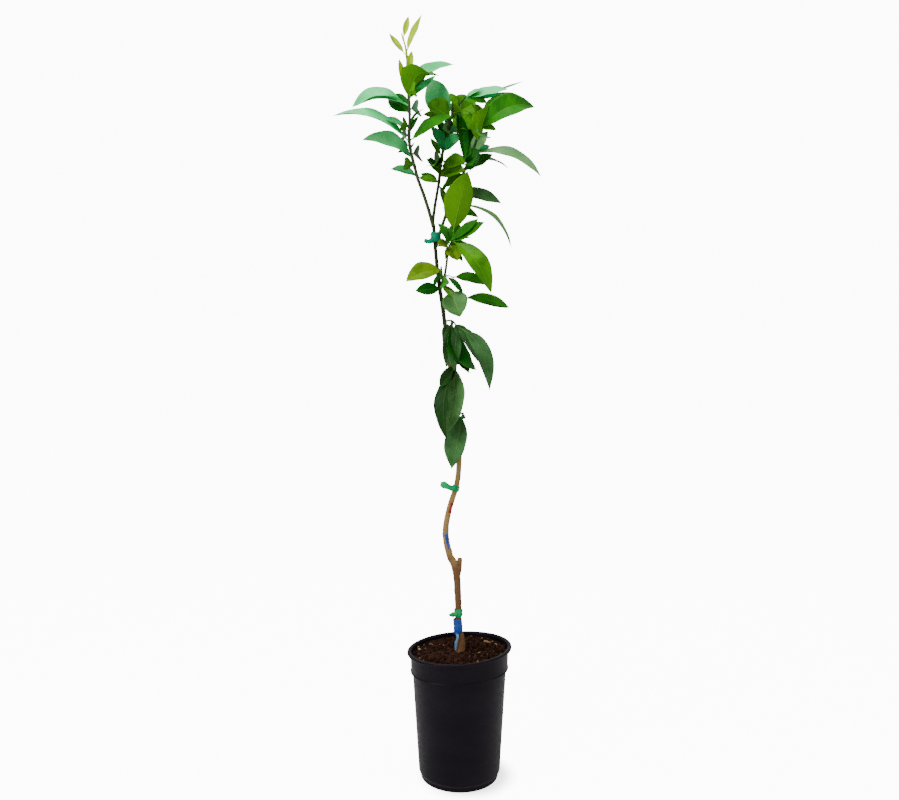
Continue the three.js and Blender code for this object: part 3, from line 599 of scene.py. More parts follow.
def mixed(pair, share):
    """The number that lies at a share of the way between two."""
    return pair[0] + (pair[1] - pair[0]) * share


def rows_behind(count, run):
    """Rows for the leaves behind a shoot, dealt along it in turn to either side of straight back."""
    rows = []
    for i in range(count):
        side = 1 if i % 2 else -1
        place = (i + 0.3 + 0.4 * next(run)) / count
        spread, rise, length, roll = (mixed(BEHIND[key], next(run)) for key in ("spread", "rise", "length", "roll"))
        rows.append((place, 90 + side * spread, rise, length, length * BEHIND["width_share"], BEHIND["arch"],
                     -side * roll, 0, KINDS_BEHIND[i % len(KINDS_BEHIND)]))
    return rows


def heading_of(turn, rise):
    """The way from a leaf's foot to its tip, and the upward face square to it."""
    a, b = math.radians(turn), math.radians(rise)
    level = np.array([math.cos(a), math.sin(a), 0.0])
    return level * math.cos(b) + UP * math.sin(b), UP * math.cos(b) - level * math.sin(b)


def foot_of(path, row):
    """Where on its shoot a leaf grows."""
    return line_at(path, share_of_length(path, row[0]))[0]


def fits(foot, row, space, limbs):
    """Whether a leaf's straight run keeps inside its mass's box and well clear of every limb."""
    _, turn, rise, length, *_ = row
    points = foot + heading_of(turn, rise)[0] * length * column(0.4, 0.6, 0.8, 1.0)
    inside = (points > np.array(space[0])) & (points < np.array(space[1]))
    apart = np.linalg.norm(points[:, None] - limbs[None, :, :3], axis=-1)
    return bool(inside.all() and (apart > limbs[:, 3] + LIMB_CLEARANCE).all())


def limb_places():
    """Middles and radii at eighty-one places of the trunk and of each bough."""
    shares = np.linspace(0, 1, 81)
    return np.vstack([
        np.column_stack([line_at(points, shares), radii_at(points, shares)]) for points in (TRUNK, *BOUGHS.values())])


def turned_about(vectors, axis, angles):
    """Vectors turned about a unit axis by each angle."""
    c, s = np.cos(angles)[:, None], np.sin(angles)[:, None]
    return vectors * c + np.cross(axis, vectors) * s + axis * (vectors @ axis)[:, None] * (1 - c)


def blade_half(s):
    """Half the width at a share of the blade: half the 0.8th power of a sine, less up to a quarter near the tip."""
    return 0.5 * np.sin(math.pi * s**0.9) ** 0.8 * (1 - 0.25 * np.clip((s - 0.82) / 0.18, 0, 1) ** 1.5)


def add_leaf(skin, foot, row):
    """One leaf: a thin lens-edged blade, and a round petiole that runs on under it as the midrib.

    The midrib is a quadratic curve from foot to tip. Its control point stands off by twice the arch, so its
    middle stands off by the arch. Across it the halves rise as the 1.2th power of the way out, up to the fold's
    angle, and the margin waves by a twentieth of the half width. The blade is 0.6 thick along its middle and
    thins to nought at the margin by the fourth power of the way out.
    """
    _, turn, rise, length, width, arch, roll, twist, _ = row
    chord, face = heading_of(turn, rise)
    bend = turned_about(face[None], chord, np.array([math.radians(roll)]))[0]
    tip, middle = foot + chord * length, foot + chord * length / 2 + bend * 2 * arch * length
    stem_share = min(max(0.5 - 1.4 * width / length, 0.08), 0.34)

    def run(t):
        t = t[:, None]
        along = unit(2 * (1 - t) * (middle - foot) + 2 * t * (tip - middle))
        normal = turned_about(
            np.broadcast_to(face, along.shape), chord, np.radians(roll + twist * (t[:, 0] - 0.5)))
        normal = unit(normal - along * (normal * along).sum(1, keepdims=True))
        return (1 - t) ** 2 * foot + 2 * t * (1 - t) * middle + t**2 * tip, along, normal

    centre, along, normal = run(stem_share + (1 - stem_share) * ALONG)
    side = np.cross(along, normal)
    s, out = ALONG[:, None], np.abs(ACROSS)
    half = np.maximum(width * blade_half(s), 0.35)
    start, waves = math.radians(turn * 7 + rise * 3), 2.2
    fold = out**1.2 * math.sin(FOLD) * half
    wave = 0.05 * half * out**3 * np.sin(2 * math.pi * waves * s + start + 1.9 * np.sign(ACROSS))
    groove = 0.35 * np.exp(-((out / 0.1) ** 2)) * np.sin(math.pi * s)
    lift, thick = fold + wave - groove, 0.3 * (1 - out**4)
    base = centre[:, None] + side[:, None] * (half * math.cos(FOLD) * ACROSS)[..., None]
    upper = base + normal[:, None] * (lift + thick)[..., None]
    lower = base + normal[:, None] * (lift - thick)[..., None]
    places = np.stack(np.broadcast_arrays(0.5 + 0.5 * ACROSS, s), -1)
    rings, places = (np.concatenate([over, below[:, -2:0:-1]], 1) for over, below in ((upper, lower), (places, places)))
    columns = rings.shape[1]
    faces = cells(len(ALONG), columns)
    look = np.where(np.arange(len(faces)) % columns < len(ACROSS) - 1, UPPER, UNDER)
    skin.add(rings, faces, look, places)

    t = np.concatenate([[0, 0.02, 0.05], np.linspace(0.1, 0.96, 13)])
    centre, along, normal = run(t)
    on_blade = np.clip((t - stem_share) / (1 - stem_share), 0, 1)
    radii = min(1.0, 0.45 + width / 60) * np.interp(t, [0, 0.03, 0.1, stem_share, 1], [1.7, 1.5, 1.35, 1.2, 0.25])
    sunk = np.clip(on_blade * 12, 0, 1) * (0.25 + radii * 0.45)
    skin.tube(centre - normal * sunk[:, None], along, radii, 7, STALK, 0.85)


def add_shoot(skin, path, rows):
    """A round shoot with 0.35 more radius than its path says, and a swelling of 0.55 and a bud at each leaf's foot.

    Its upper part, above FLUSH_FROM, has the second look.
    """
    sides = 10
    shares, middles, ways, radii = sampled(path, 14)
    feet = np.array([share_of_length(path, row[0]) for row in rows])
    radii = radii + 0.35 + 0.55 * np.exp(-(((shares[:, None] - feet) / 0.012) ** 2)).max(1)
    angles = around(sides)
    ring = 3 * np.column_stack([np.cos(angles), np.sin(angles), 0 * angles])
    relief = 0.12 * rough((middles[:, None] + ring).reshape(-1, 3), 7, SEEDS["shoots"]).reshape(-1, sides)
    look = np.repeat((middles[:-1, 2] > FLUSH_FROM).astype(int), sides)
    skin.tube(middles, ways, radii[:, None] + relief, sides, look)
    skin.tube(middles[-1] + ways[-1] * column(0, 1.2, 2.6, 3.6), ways[-1],
              radii[-1] * np.array([0.9, 1.1, 0.8, 0.25]), 8, look[-1])
    for row, share in zip(rows, feet):
        at, way = line_at(path, share)[0], ways_at(path, share)[0]
        lean = unit(heading_of(row[1], row[2])[0] * 0.6 + way)
        size = 0.7 + 0.25 * math.sin(row[1] + row[3])
        skin.tube(at + lean * column(1.0, 2.2, 3.6, 4.8) * size + UP * 0.3, lean,
                  size * np.array([1.1, 1.3, 0.9, 0.25]), 7, int(at[2] > FLUSH_FROM))


def grown_masses():
    """Every shoot with its rows: the table's leaves, its finer ones, and those that the seeded rule finds room for."""
    limbs, run = limb_places(), seeded(SEEDS["behind"])
    found = []
    for name, mass in MASSES.items():
        for shoot in mass["shoots"]:
            path = shoot["path"]
            grown = [row for row in rows_behind(shoot["behind"], run)
                     if fits(foot_of(path, row), row, mass["space"], limbs)]
            found.append((name, path, [*shoot["leaves"], *shoot.get("finer", ()), *grown]))
    return found


# Stem -----------------------------------------------------------------------------------------------------


def trunk_at(level):
    """Middle, way along and radius of the trunk where its line passes a height."""
    shares = np.linspace(0, 1, 4001)
    share = float(np.interp(level, line_at(TRUNK, shares)[:, 2], shares))
    return line_at(TRUNK, share)[0], ways_at(TRUNK, share)[0], float(radii_at(TRUNK, share)[0])


def add_bark(skin, points, steps, sides, depth, seed, collar=0.0, scars=(), end_look=None, spare=0.0):
    """A limb with bark: rings at the limb's radius plus relief.

    The relief is lumps of 0.6 times `depth`, less cracks of `depth` where a wave drawn out along the limb passes
    nought, plus a swelling of 0.8 at each scar, (height, angle). `collar` widens the first rings, and `spare` is
    the bark's own thickness.
    """
    shares, middles, ways, radii = sampled(points, steps)
    radii = radii * (1 + collar * np.exp(-shares * 12)) + spare
    angles = around(sides)
    flat = (middles[:, None] + radii[:, None, None] * spokes(ways, angles)).reshape(-1, 3)
    fade = np.interp(flat[:, 2], [225, 380, 640, 1000], [1, 0.9, 0.5, 0.35])
    cracks = np.exp(-((rough(flat * [1, 1, 0.16], 3.2, seed) / 0.13) ** 2))
    relief = ((0.6 * rough(flat, 11, seed + 1) - cracks) * depth * fade).reshape(-1, sides)
    for level, angle in scars:
        apart = ((middles[:, 2:3] - level) / 2.6) ** 2 + (1 - np.cos(angles - angle)) / 0.3
        relief = relief + 0.8 * np.exp(-apart)
    skin.tube(middles, ways, radii[:, None] + relief, sides, end_look=end_look)


# Pot, soil and ties ---------------------------------------------------------------------------------------


def eased(profile, reach):
    """A closed profile, each corner eased by a quadratic curve from `reach` before it, or 0.45 of a shorter span."""
    p = np.asarray(profile, float)
    before, after = np.roll(p, 1, 0) - p, np.roll(p, -1, 0) - p
    start, end = (
        p + v * np.minimum(reach / np.linalg.norm(v, axis=1, keepdims=True), 0.45) for v in (before, after))
    t = column(0, 0.25, 0.5, 0.75, 1)
    return ((1 - t) ** 2 * start[:, None] + 2 * t * (1 - t) * p[:, None] + t**2 * end[:, None]).reshape(-1, 2)


def turned(profile, sides, lean, top):
    """The profile turned round the upright axis, then raised by lean times x times the square of z over the top."""
    angles = around(sides)
    r, z = profile[:, :1], profile[:, 1:2]
    x, y = r * np.cos(angles), r * np.sin(angles)
    return np.stack([x, y, z + lean * x * (z / top) ** 2], -1)


def add_floor(skin, out):
    """A pot's floor in six wedges, each a skin from its drain hole's edge out to the wedge's own border.

    Seen from the hole's middle, the border is the nearest of the wedge's two flanks, 30 degrees either side of
    its middle line, and the circle of radius `out` about the pot's middle.
    """
    steps, hole, ring, low, high = 48, 5.0, 50.0, 0.6, 3.0
    flank, angles = math.radians(30), around(steps)
    way = np.column_stack([np.cos(angles), np.sin(angles)])
    along = ring * way[:, 0]
    reach = [np.sqrt(along**2 - ring**2 + out**2) - along]
    for sign in (1, -1):
        lean = way @ np.array([-math.sin(flank), sign * math.cos(flank)])
        reach.append(np.where(lean > 1e-6, ring * math.sin(flank) / np.maximum(lean, 1e-6), np.inf))
    border, edge = np.min(reach, 0), np.full(steps, hole)
    flat = np.stack([edge, border, border, edge])[..., None] * way + [ring, 0]
    z = np.broadcast_to(column(low, low, high, high), flat.shape[:2])
    for turn in around(6):
        c, s = math.cos(turn), math.sin(turn)
        x, y = flat[..., 0] * c - flat[..., 1] * s, flat[..., 0] * s + flat[..., 1] * c
        skin.add(np.stack([x, y, z], -1), cells(4, steps, ring_rows=True))


def add_blobs(skin, centres, sizes, looks, seed):
    """Many small lumps: low balls, uneven by seed, stretched by three sizes each and turned at random."""
    rings, sides, count = 4, 6, len(centres)
    random = np.random.default_rng(seed)
    a, b = np.linspace(0.35, math.pi - 0.35, rings)[:, None], around(sides)
    ball = np.stack(np.broadcast_arrays(np.sin(a) * np.cos(b), np.sin(a) * np.sin(b), -np.cos(a)), -1).reshape(-1, 3)
    shape = ball * (1 + random.uniform(-0.28, 0.28, (count, len(ball), 1))) * sizes[:, None]
    w, x, y, z = unit(random.normal(size=(count, 4))).T
    turns = np.array([
        [1 - 2 * (y * y + z * z), 2 * (x * y - z * w), 2 * (x * z + y * w)],
        [2 * (x * y + z * w), 1 - 2 * (x * x + z * z), 2 * (y * z - x * w)],
        [2 * (x * z - y * w), 2 * (y * z + x * w), 1 - 2 * (x * x + y * y)]])
    first = skin.count
    starts = np.arange(count)[:, None, None] * len(ball)
    skin.add(np.einsum("ijn,nkj->nki", turns, shape) + centres[:, None],
             (cells(rings, sides) + starts).reshape(-1, 4), np.repeat(looks, (rings - 1) * sides))
    caps = np.stack([np.arange(sides)[::-1], np.arange(sides) + (rings - 1) * sides])
    skin.faces.extend((caps + starts + first).reshape(-1, sides).tolist())
    skin.looks.append(np.repeat(looks, 2))


def add_wrap(skin, middle, way, inner, thick, height, turns, seed):
    """A strap wound round the stem: a flat rounded section carried round it, ribbed by its turns and creased.

    The section goes up and down by the 0.6th power of a sine and in and out by the half power of a cosine. The
    outside sinks between turns, and the whole ring is pushed in and out by a few seeded waves.
    """
    rows, sides = 28, 56
    angles, loop = around(sides), around(rows)[:, None]
    c, s = np.cos(loop), np.sin(loop)
    tall = 0.5 * height * np.sign(s) * np.abs(s) ** 0.6
    tall = tall * (1 + 0.06 * np.sin(2 * angles + seed) + 0.04 * np.sin(5 * angles + 2 * seed))
    outward = (1 + np.sign(c) * np.abs(c) ** 0.5) / 2
    groove = np.abs(np.sin(math.pi * (turns * (tall / height + 0.5) + angles / (2 * math.pi)))) ** 0.5
    deep = thick * outward * (0.74 + 0.26 * groove) + 0.25 * np.sin(3 * angles + seed + tall) * outward
    skin.add(middle + tall[..., None] * way + (inner + deep)[..., None] * spokes(way, angles),
             cells(rows, sides, ring_rows=True))


def add_tail(skin, points, look, flat, seed):
    """A loose strap end: a flat tube along its points whose width swells and pinches a little, cut square."""
    shares, middles, ways, radii = sampled(points, 9)
    skin.tube(middles, ways, radii * (1 + 0.12 * np.sin(9 * shares + seed)), 14, look, flat)


def add_patch(skin, low, high, angle, spread_low, spread_high, look):
    """A thin film on the stem between two heights: it follows the trunk's skin and narrows as its spreads say."""
    rows = 14
    levels, across = np.linspace(low, high, rows), np.linspace(-1, 1, 9)
    middles, ways, radii = (np.array(values) for values in zip(*map(trunk_at, levels)))
    spread = np.radians(np.linspace(spread_low, spread_high, rows))[:, None]
    way = spokes(ways, math.radians(angle) + spread * across * (1 + 0.12 * np.sin(levels * 0.9)[:, None]))
    swell = 0.35 * (1 - across**6) * np.minimum(1, 4 * np.sin(np.linspace(0, math.pi, rows)))[:, None]
    outer = middles[:, None] + way * (radii[:, None] + 0.25 + swell)[..., None]
    inner = middles[:, None] + way * (radii - 0.6)[:, None, None]
    skin.capped(np.concatenate([outer, inner[:, ::-1]], 1), look)


# Settings -------------------------------------------------------------------------------------------------


def length(name, text, default):
    return FloatProperty(name=name, description=text, default=default, unit="LENGTH", subtype="DISTANCE")


def colour(name, text, *display):
    return FloatVectorProperty(
        name=name, description=text, default=linear(*display), size=3, min=0, max=1, subtype="COLOR")


class PotSettings(PropertyGroup):
    height: length("Height", "From the floor to the top of the rim", 0.23)
    rim_radius: length("Rim radius", "Outer radius of the rim's lip", 0.095)
    collar_radius: length("Collar radius", "Outer radius of the upright collar under the lip", 0.089)
    base_radius: length("Base radius", "Outer radius of the wall just above the foot", 0.0736)
    foot_radius: length("Foot radius", "Outer radius of the foot ring", 0.07)
    wall: length("Wall", "Thickness of the plastic", 0.002)
    lean: FloatProperty(name="Lean", description="How far the rim rises towards the right, per unit", default=0.06)
    plastic: colour("Plastic", "Colour of the black plastic", 14, 9, 15)
    dust: colour("Dust", "Colour of the thin dust on the plastic", 22, 16, 23)


class SoilSettings(PropertyGroup):
    drop: length("Drop", "How far the soil lies under the rim", 0.008)
    crumbs: IntProperty(name="Crumbs", description="How many loose crumbs lie on the soil", default=1100, min=0)
    dark: colour("Dark", "Colour of the moist soil", 14, 7, 5)
    pale: colour("Pale", "Colour of the drier soil", 66, 40, 29)
    chip: colour("Chips", "Colour of the wood chips", 186, 150, 104)


class StemSettings(PropertyGroup):
    rootstock: colour("Rootstock", "Bark colour below the graft", 120, 86, 54)
    scion: colour("Scion", "Bark colour above the graft", 160, 130, 80)
    young_wood: colour("Young wood", "Bark colour towards the crown", 44, 58, 22)
    shoot: colour("Shoots", "Colour of the green shoots", 58, 84, 26)
    relief: length("Relief", "Depth of the bark's cracks", 0.00035)


class LeafSettings(PropertyGroup):
    # Painted sky reflection: the three greens below are made paler and bluer to stand in for the sky mirrored in the
    # leaves.
    silver: colour("Silver", "Upper leaves that catch the sky", 78, 240, 142)
    jade: colour("Jade", "Broad leaves with a soft sheen", 66, 184, 104)
    sage: colour("Sage", "Greyish arching leaves", 118, 176, 108)
    # Partly the leaves' own paler backs and partly painted light: a brighter yellow-green stands in for light shining
    # through the blade.
    fresh: colour("Fresh", "Bright leaves seen from below", 84, 168, 0)
    mid: colour("Mid", "Plain green leaves", 42, 130, 10)
    deep: colour("Deep", "Dark shaded leaves", 8, 96, 6)
    olive: colour("Olive", "Olive leaves", 78, 150, 0)
    yellow: colour("Yellow", "Young yellow-green leaves", 122, 164, 0)
    flush: colour("Flush", "The newest leaves at the top", 186, 214, 0)
    dull: colour("Dull", "Old matt leaves on the bare stem", 62, 108, 58)
    moss: colour("Moss", "Matt leaves lit on the bare stem", 100, 154, 86)
    # Painted shade: a dark copy of the leaf green that stands in for shade on leaves low on the bare stem.
    dusk: colour("Dusk", "Darkest leaves on the bare stem", 14, 57, 12)


class TieSettings(PropertyGroup):
    green: colour("Tie", "Colour of the soft green ties", 0, 172, 96)
    teal: colour("Top tie", "Colour of the topmost tie", 0, 150, 110)
    tape: colour("Tape", "Colour of the blue tape", 8, 76, 176)
    tape_end: colour("Tape end", "Colour of the tape's thin loose end", 124, 170, 214)
    mark: colour("Mark", "Colour of the red mark on the stem", 160, 40, 30)


SETTINGS = {"orange_pot": PotSettings, "orange_soil": SoilSettings, "orange_stem": StemSettings,
            "orange_leaf": LeafSettings, "orange_tie": TieSettings}


# Operators ------------------------------------------------------------------------------------------------


class ORANGE_OT_pot(Operator):
    """Builds the nursery pot: a turned plastic wall with a rolled lip, and a floor with drain holes"""

    bl_idname = "orange.pot"
    bl_label = "Pot"

    def execute(self, context):
        look = context.scene.orange_pot
        top, rim, collar, base, foot, wall = (
            v / MM for v in (look.height, look.rim_radius, look.collar_radius, look.base_radius, look.foot_radius,
                             look.wall))
        profile = eased([
            (foot - 4, 0), (foot, 0), (foot, 7), (base, 12), (collar - 4, top - 39.5), (collar - 0.2, top - 38.8),
            (collar + 0.3, top - 37.4), (collar - 1, top - 35.6), (collar, top - 6), (rim - 1, top - 5),
            (rim, top - 3.8), (rim, top - 1.6), (rim - 1.4, top - 0.2), (rim - 4, top),
            (collar - wall + 1, top - 0.6), (collar - wall, top - 3), (collar - 1 - wall, top - 36),
            (collar - 4.5 - wall, top - 40), (base - wall, 13), (foot - wall, 8), (foot - 4, 3),
        ], 1.1)
        sides = 120
        skin = Skin()
        skin.add(turned(profile, sides, look.lean, top), cells(len(profile), sides, ring_rows=True))
        add_floor(skin, foot - 3)
        plastic = toned_material("black pot plastic", look.plastic, look.dust, 9.0, 0.38, 0.12, 0.0006, (1, 1, 2.5),
                                 0.1, (0.92, 0.86, 1))
        skin.piece("pot_shell", "pot", ["pot"], [plastic])
        return {"FINISHED"}


class ORANGE_OT_soil(Operator):
    """Builds the potting soil with its crumbly top, loose crumbs and wood chips"""

    bl_idname = "orange.soil"
    bl_label = "Soil"

    def execute(self, context):
        pot, look = context.scene.orange_pot, context.scene.orange_soil
        top, edge = pot.height / MM, (pot.collar_radius - pot.wall) / MM - 0.6
        level = top - look.drop / MM
        rings, sides = 62, 168
        below = ((1, 3.4), (40, 3.4), (67.3, 3.4), (67.3, 8), (70.4, 13), (81.2, 189), (84.6, 195), (edge, level - 3))
        face = np.column_stack([np.linspace(edge, 1, rings), np.full(rings, level)])
        grid = turned(np.vstack([below, face]), sides, pot.lean, top)
        flat = grid[len(below):].reshape(-1, 3)
        lumps = sum(high * rough(flat, size, seed) for high, size, seed in (
            (1.3, 9, 3), (0.9, 4, 4), (0.5, 2.2, 5), (1.6, 46, 6)))
        grid[len(below):, :, 2] += lumps.reshape(rings, sides) - 0.6
        skin = Skin()
        skin.capped(grid)

        random = np.random.default_rng(SEEDS["crumbs"])
        count = look.crumbs
        out, turn = (edge - 1.5) * np.sqrt(random.uniform(0.006, 1, count)), random.uniform(0, 2 * math.pi, count)
        x, y = out * np.cos(turn), out * np.sin(turn)
        z = level + pot.lean * x + 0.4 + 0.9 * rough(np.column_stack([x, y, 0 * x]), 46, 6)
        size = random.uniform(0.7, 1.9, count) ** 1.5
        sizes = size[:, None] * random.uniform([0.7, 0.7, 0.5], [1.3, 1.3, 0.9], (count, 3))
        looks = random.choice([0, 1, 2], count, p=[0.6, 0.35, 0.05])
        add_blobs(skin, np.column_stack([x, y, z]), sizes, looks, SEEDS["lumps"])
        for x, y, long, turn, rise, thick in CHIPS:
            way = heading_of(turn, rise)[0]
            at = np.array([x, y, level + pot.lean * x + 1.2])
            skin.tube(at + way * column(-0.5, -0.2, 0.2, 0.5) * long + UP * column(0, 0.5, 0.4, 0), way,
                      thick * np.array([0.5, 0.8, 0.9, 0.5]), 7, 3, 0.55)
        dark = toned_material("moist potting soil", look.dark, look.pale, 130.0, 0.9, 0.9, 0.0015, sheen=0.05)
        brown = toned_material("brown crumbs", look.pale, look.dark, 300.0, 0.88, 0.8, 0.001, sheen=0.05)
        light = toned_material("fibre crumbs", toward(look.pale, look.chip, 0.5), look.pale, 260.0, 0.85, 0.6, 0.001)
        chip = toned_material("wood chips", look.chip, look.pale, 200.0, 0.8, 0.5, 0.0006)
        skin.piece("potting_soil", "soil", ["soil"], [dark, brown, light, chip])
        return {"FINISHED"}


class ORANGE_OT_stem(Operator):
    """Builds the grafted trunk and the sawn stub of its rootstock, with the bark's relief"""

    bl_idname = "orange.stem"
    bl_label = "Stem"

    def execute(self, context):
        look = context.scene.orange_stem
        depth = look.relief / MM
        skin = Skin()
        scars = [(404 + 27.5 * k + 5 * math.sin(2.3 * k), math.radians(137.5 * k)) for k in range(21)]
        scars += [(236, 2.2), (312, -0.6), (333, 2.9)]
        add_bark(skin, TRUNK, 26, 40, depth, SEEDS["trunk"], scars=scars)
        add_bark(skin, GRAFT_STUB, 20, 30, depth * 1.2, SEEDS["stub"], end_look=1)
        wood = toned_material("weathered saw cut", linear(74, 62, 54), linear(40, 34, 32), 220.0, 0.85, 0.6, 0.0008)
        skin.piece("grafted_stem", "bark", ["trunk"], [bark_material(look), wood])
        return {"FINISHED"}


class ORANGE_OT_boughs(Operator):
    """Builds the four boughs, each grown out of the trunk with a small collar"""

    bl_idname = "orange.boughs"
    bl_label = "Boughs"

    def execute(self, context):
        look = context.scene.orange_stem
        skin = Skin()
        for k, points in enumerate(BOUGHS.values()):
            add_bark(skin, points, 24, 22, look.relief / MM * 0.7, SEEDS["boughs"] + k, collar=0.3, spare=0.35)
        bark = toned_material("green bough bark", look.young_wood, look.shoot, 70.0, 0.6, 0.4, 0.0004, (1, 1, 0.3))
        skin.piece("crown_boughs", "green_bark", list(BOUGHS), [bark])
        return {"FINISHED"}


class ORANGE_OT_shoots(Operator):
    """Builds the leafy shoots with their buds"""

    bl_idname = "orange.shoots"
    bl_label = "Shoots"

    def execute(self, context):
        look = context.scene.orange_stem
        skin = Skin()
        for _, path, rows in grown_masses():
            add_shoot(skin, path, rows)
        green = toned_material("green shoot bark", look.shoot, look.young_wood, 90.0, 0.5, 0.3, 0.0003, (1, 1, 0.3))
        young = toned_material("flush shoot bark", linear(156, 188, 8), linear(116, 146, 12), 90.0, 0.45, 0.3, 0.0003)
        skin.piece("leafy_shoots", "green_bark", list(MASSES), [green, young])
        return {"FINISHED"}


class ORANGE_OT_leaves(Operator):
    """Builds all the leaves, one piece for each kind of green"""

    bl_idname = "orange.leaves"
    bl_label = "Leaves"

    def execute(self, context):
        look = context.scene.orange_leaf
        skins, nodes = {}, {}
        for name, path, rows in grown_masses():
            for row in rows:
                kind = row[-1]
                nodes.setdefault(kind, set()).add(name)
                add_leaf(skins.setdefault(kind, Skin()), foot_of(path, row), row)
        for kind, skin in skins.items():
            green, sky, fresh = tuple(getattr(look, kind)), kind in SKY_KINDS, kind == "fresh"
            # For the sky kinds the vein green and the backs lean bluer: a painted sky reflection.
            paler = toward(green, linear(150, 190, 90 if sky else 0), 0.2)
            shade = tuple(v * w for v, w in zip(green, (0.14, 0.36, 0.16) if sky else (0.3, 0.42, 0.3)))
            upper = leaf_material(
                f"{kind} leaf face", tuple(min(1.2 * v, 1) for v in green), paler, shade, 0.22 if sky else 0.12,
                {"Veins": 0.45, "Mottling": 0.5 if sky else 0.85, "Gloss": GLOSS.get(kind, 0.36),
                 "Foot Shade": 0.85 if sky else 0.3, "Tip Shade": 0.8 if fresh else 0.0})
            under = leaf_material(
                f"{kind} leaf back", toward(green, linear(120, 150, 50 if sky else 0), 0.2), paler, shade, 0.1,
                {"Veins": 0.7, "Mottling": 0.35, "Gloss": 0.55, "Foot Shade": 0.2, "Tip Shade": 0.6 if fresh else 0.0})
            rib = toned_material(f"{kind} leaf stalk", paler, green, 120.0, 0.45, 0.2, 0.0003)
            skin.piece(f"leaves_{kind}", "leaves", sorted(nodes[kind]), [upper, under, rib])
        return {"FINISHED"}


class ORANGE_OT_ties(Operator):
    """Builds the soft ties round the stem, each wound twice with a knot and a loose tail"""

    bl_idname = "orange.ties"
    bl_label = "Ties"

    def execute(self, context):
        look = context.scene.orange_tie
        for k, (name, (level, height, shift, slack, tail)) in enumerate(TIES.items()):
            middle, way, radius = trunk_at(level)
            at = middle + [shift, 0, 0]
            skin = Skin()
            add_wrap(skin, at, way, radius + 0.35 + slack * 0.55, 1.6 + slack * 0.45, height, 2, 1.3 * k + 0.4)
            points = np.array(tail, float) + [*at, 0]
            add_tail(skin, points, 0, 0.42, k)
            start = points[0, :3]
            turn = unit(points[1, :3] - start)
            skin.tube(start + turn * column(-2.6, -1.6, 0.0, 1.6, 2.6), turn, np.array([1.1, 2.2, 2.7, 2.2, 1.2]), 14,
                      flat=0.8)
            tone = look.teal if name == "tie_top" else look.green
            soft = toned_material(f"soft {name} plastic", tone, shaded(tone, 0.6), 90.0, 0.42, 0.3, 0.0005, sheen=0.1)
            skin.piece(f"wound_{name}", "green_tie", [name], [soft])
        return {"FINISHED"}


class ORANGE_OT_tape(Operator):
    """Builds the blue tape low on the stem with its loose end, and the scraps left at the graft"""

    bl_idname = "orange.tape"
    bl_label = "Tape"

    def execute(self, context):
        look = context.scene.orange_tie
        skin = Skin()
        middle, way, radius = trunk_at(268.5)
        add_wrap(skin, middle + [-1.2, 0, 0], way, radius + 0.35, 2.1, 27, 3, 0.7)
        add_tail(skin, SLEEVE_TAIL, 1, 0.3, 1)
        blue = toned_material("blue tape", look.tape, shaded(look.tape, 0.65), 60.0, 0.34, 0.2, 0.0005, (1, 1, 3), 0.4)
        pale = toned_material("tape end", look.tape_end, shaded(look.tape_end, 0.6), 60.0, 0.4, 0.2, 0.0005)
        skin.piece("tape_winding", "blue_tape", ["tape_sleeve"], [blue, pale])
        scraps = Skin()
        add_patch(scraps, 410, 437, -75, 10, 36, 0)
        add_patch(scraps, 475, 494, -62, 34, 26, 1)
        red = toned_material("red mark", look.mark, shaded(look.mark, 0.6), 120.0, 0.5, 0.3, 0.0005)
        scraps.piece("graft_scraps", "blue_tape", [], [blue, red])
        return {"FINISHED"}


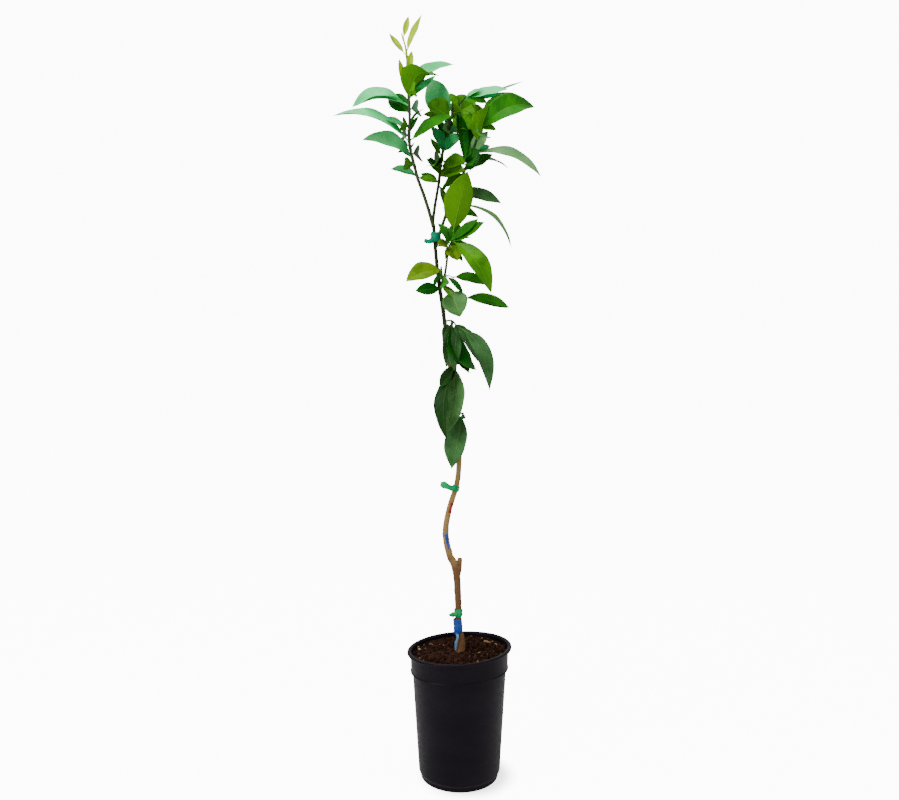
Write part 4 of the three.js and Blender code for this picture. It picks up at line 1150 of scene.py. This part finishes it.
class ORANGE_OT_stage(Operator):
    """Sets the pale floor, the soft studio light and the camera"""

    bl_idname = "orange.stage"
    bl_label = "Stage"

    def execute(self, context):
        scene = context.scene

        def placed(name, data):
            made = bpy.data.objects.new(name, data)
            scene.collection.objects.link(made)
            return made

        mesh = bpy.data.meshes.new("studio_floor")
        low, high = -FLOOR_REACH, FLOOR_REACH
        mesh.from_pydata([(low, low, 0), (high, low, 0), (high, high, 0), (low, high, 0)], [], [(0, 1, 2, 3)])
        floor = placed("studio_floor", mesh)
        # The camera sees the floor glow, more so away from the pot; the dimmer glow round it is a painted shadow, its
        # middle a little right of the pot's. It lights nothing.
        pale, tree = material("pale studio floor")
        where = node(tree, "ShaderNodeTexCoord").outputs["Object"]
        far = node(tree, "ShaderNodeVectorMath", {0: where, 1: (0.014, -0.004, 0)}, operation="DISTANCE")
        seen = node(tree, "ShaderNodeLightPath").outputs["Is Camera Ray"]
        glow_and_painted_shadow = times(tree, between(tree, far.outputs["Value"], 0.06, 0.1, 2.6, 11.5), seen)
        surface(tree, {"Base Color": (0.9, 0.9, 0.91, 1), "Roughness": 0.6, "Emission Color": (1, 1, 1, 1),
                       "Emission Strength": glow_and_painted_shadow})
        mesh.materials.append(pale)

        world = bpy.data.worlds.new("soft studio")
        world.use_nodes = True
        tree = world.node_tree
        tree.nodes.clear()
        seen = node(tree, "ShaderNodeLightPath").outputs["Is Camera Ray"]
        strength = calc(tree, "MULTIPLY_ADD", seen, 10.95, 0.55)
        sky = node(tree, "ShaderNodeBackground", {"Color": (1, 1, 1, 1), "Strength": strength})
        node(tree, "ShaderNodeOutputWorld", {"Surface": sky.outputs[0]})
        scene.world = world

        for name, (place, size, power) in LIGHTS.items():
            light = bpy.data.lights.new(name, "AREA")
            light.shape, light.size, light.energy = "DISK", size, power
            lamp = placed(name, light)
            lamp.location = place
            lamp.rotation_euler = (Vector(LIGHT_AIM) - Vector(place)).to_track_quat("-Z", "Y").to_euler()

        camera = bpy.data.cameras.new("photo camera")
        camera.lens, camera.sensor_width = 30.14, 36.0
        camera.clip_start, camera.clip_end = 0.05, 100
        seat = placed("photo camera", camera)
        seat.location, seat.rotation_euler = (-0.018, -1.372, 0.680), (math.pi / 2, 0, 0)
        scene.camera = seat
        return {"FINISHED"}


OPERATORS = (ORANGE_OT_pot, ORANGE_OT_soil, ORANGE_OT_stem, ORANGE_OT_boughs, ORANGE_OT_shoots, ORANGE_OT_leaves,
             ORANGE_OT_ties, ORANGE_OT_tape, ORANGE_OT_stage)


class ORANGE_PT_panel(Panel):
    """Lists the tree's pieces and their settings"""

    bl_idname = "ORANGE_PT_panel"
    bl_label = "Orange tree"
    bl_space_type = "VIEW_3D"
    bl_region_type = "UI"
    bl_category = "Orange tree"

    def draw(self, context):
        for operator in OPERATORS:
            self.layout.operator(operator.bl_idname)
        for name, settings in SETTINGS.items():
            box = self.layout.box()
            box.label(text=settings.__name__)
            for key in settings.__annotations__:
                box.prop(getattr(context.scene, name), key)


def register():
    for made in (*SETTINGS.values(), *OPERATORS, ORANGE_PT_panel):
        bpy.utils.register_class(made)
    for name, settings in SETTINGS.items():
        setattr(bpy.types.Scene, name, PointerProperty(type=settings))


def unregister():
    for name in SETTINGS:
        delattr(bpy.types.Scene, name)
    for made in (ORANGE_PT_panel, *reversed(OPERATORS), *SETTINGS.values()):
        bpy.utils.unregister_class(made)


def main():
    register()
    bpy.ops.orange.pot()
    bpy.ops.orange.soil()
    bpy.ops.orange.stem()
    bpy.ops.orange.boughs()
    bpy.ops.orange.shoots()
    bpy.ops.orange.leaves()
    bpy.ops.orange.ties()
    bpy.ops.orange.tape()
    bpy.ops.orange.stage()


if __name__ == "__main__":
    main()
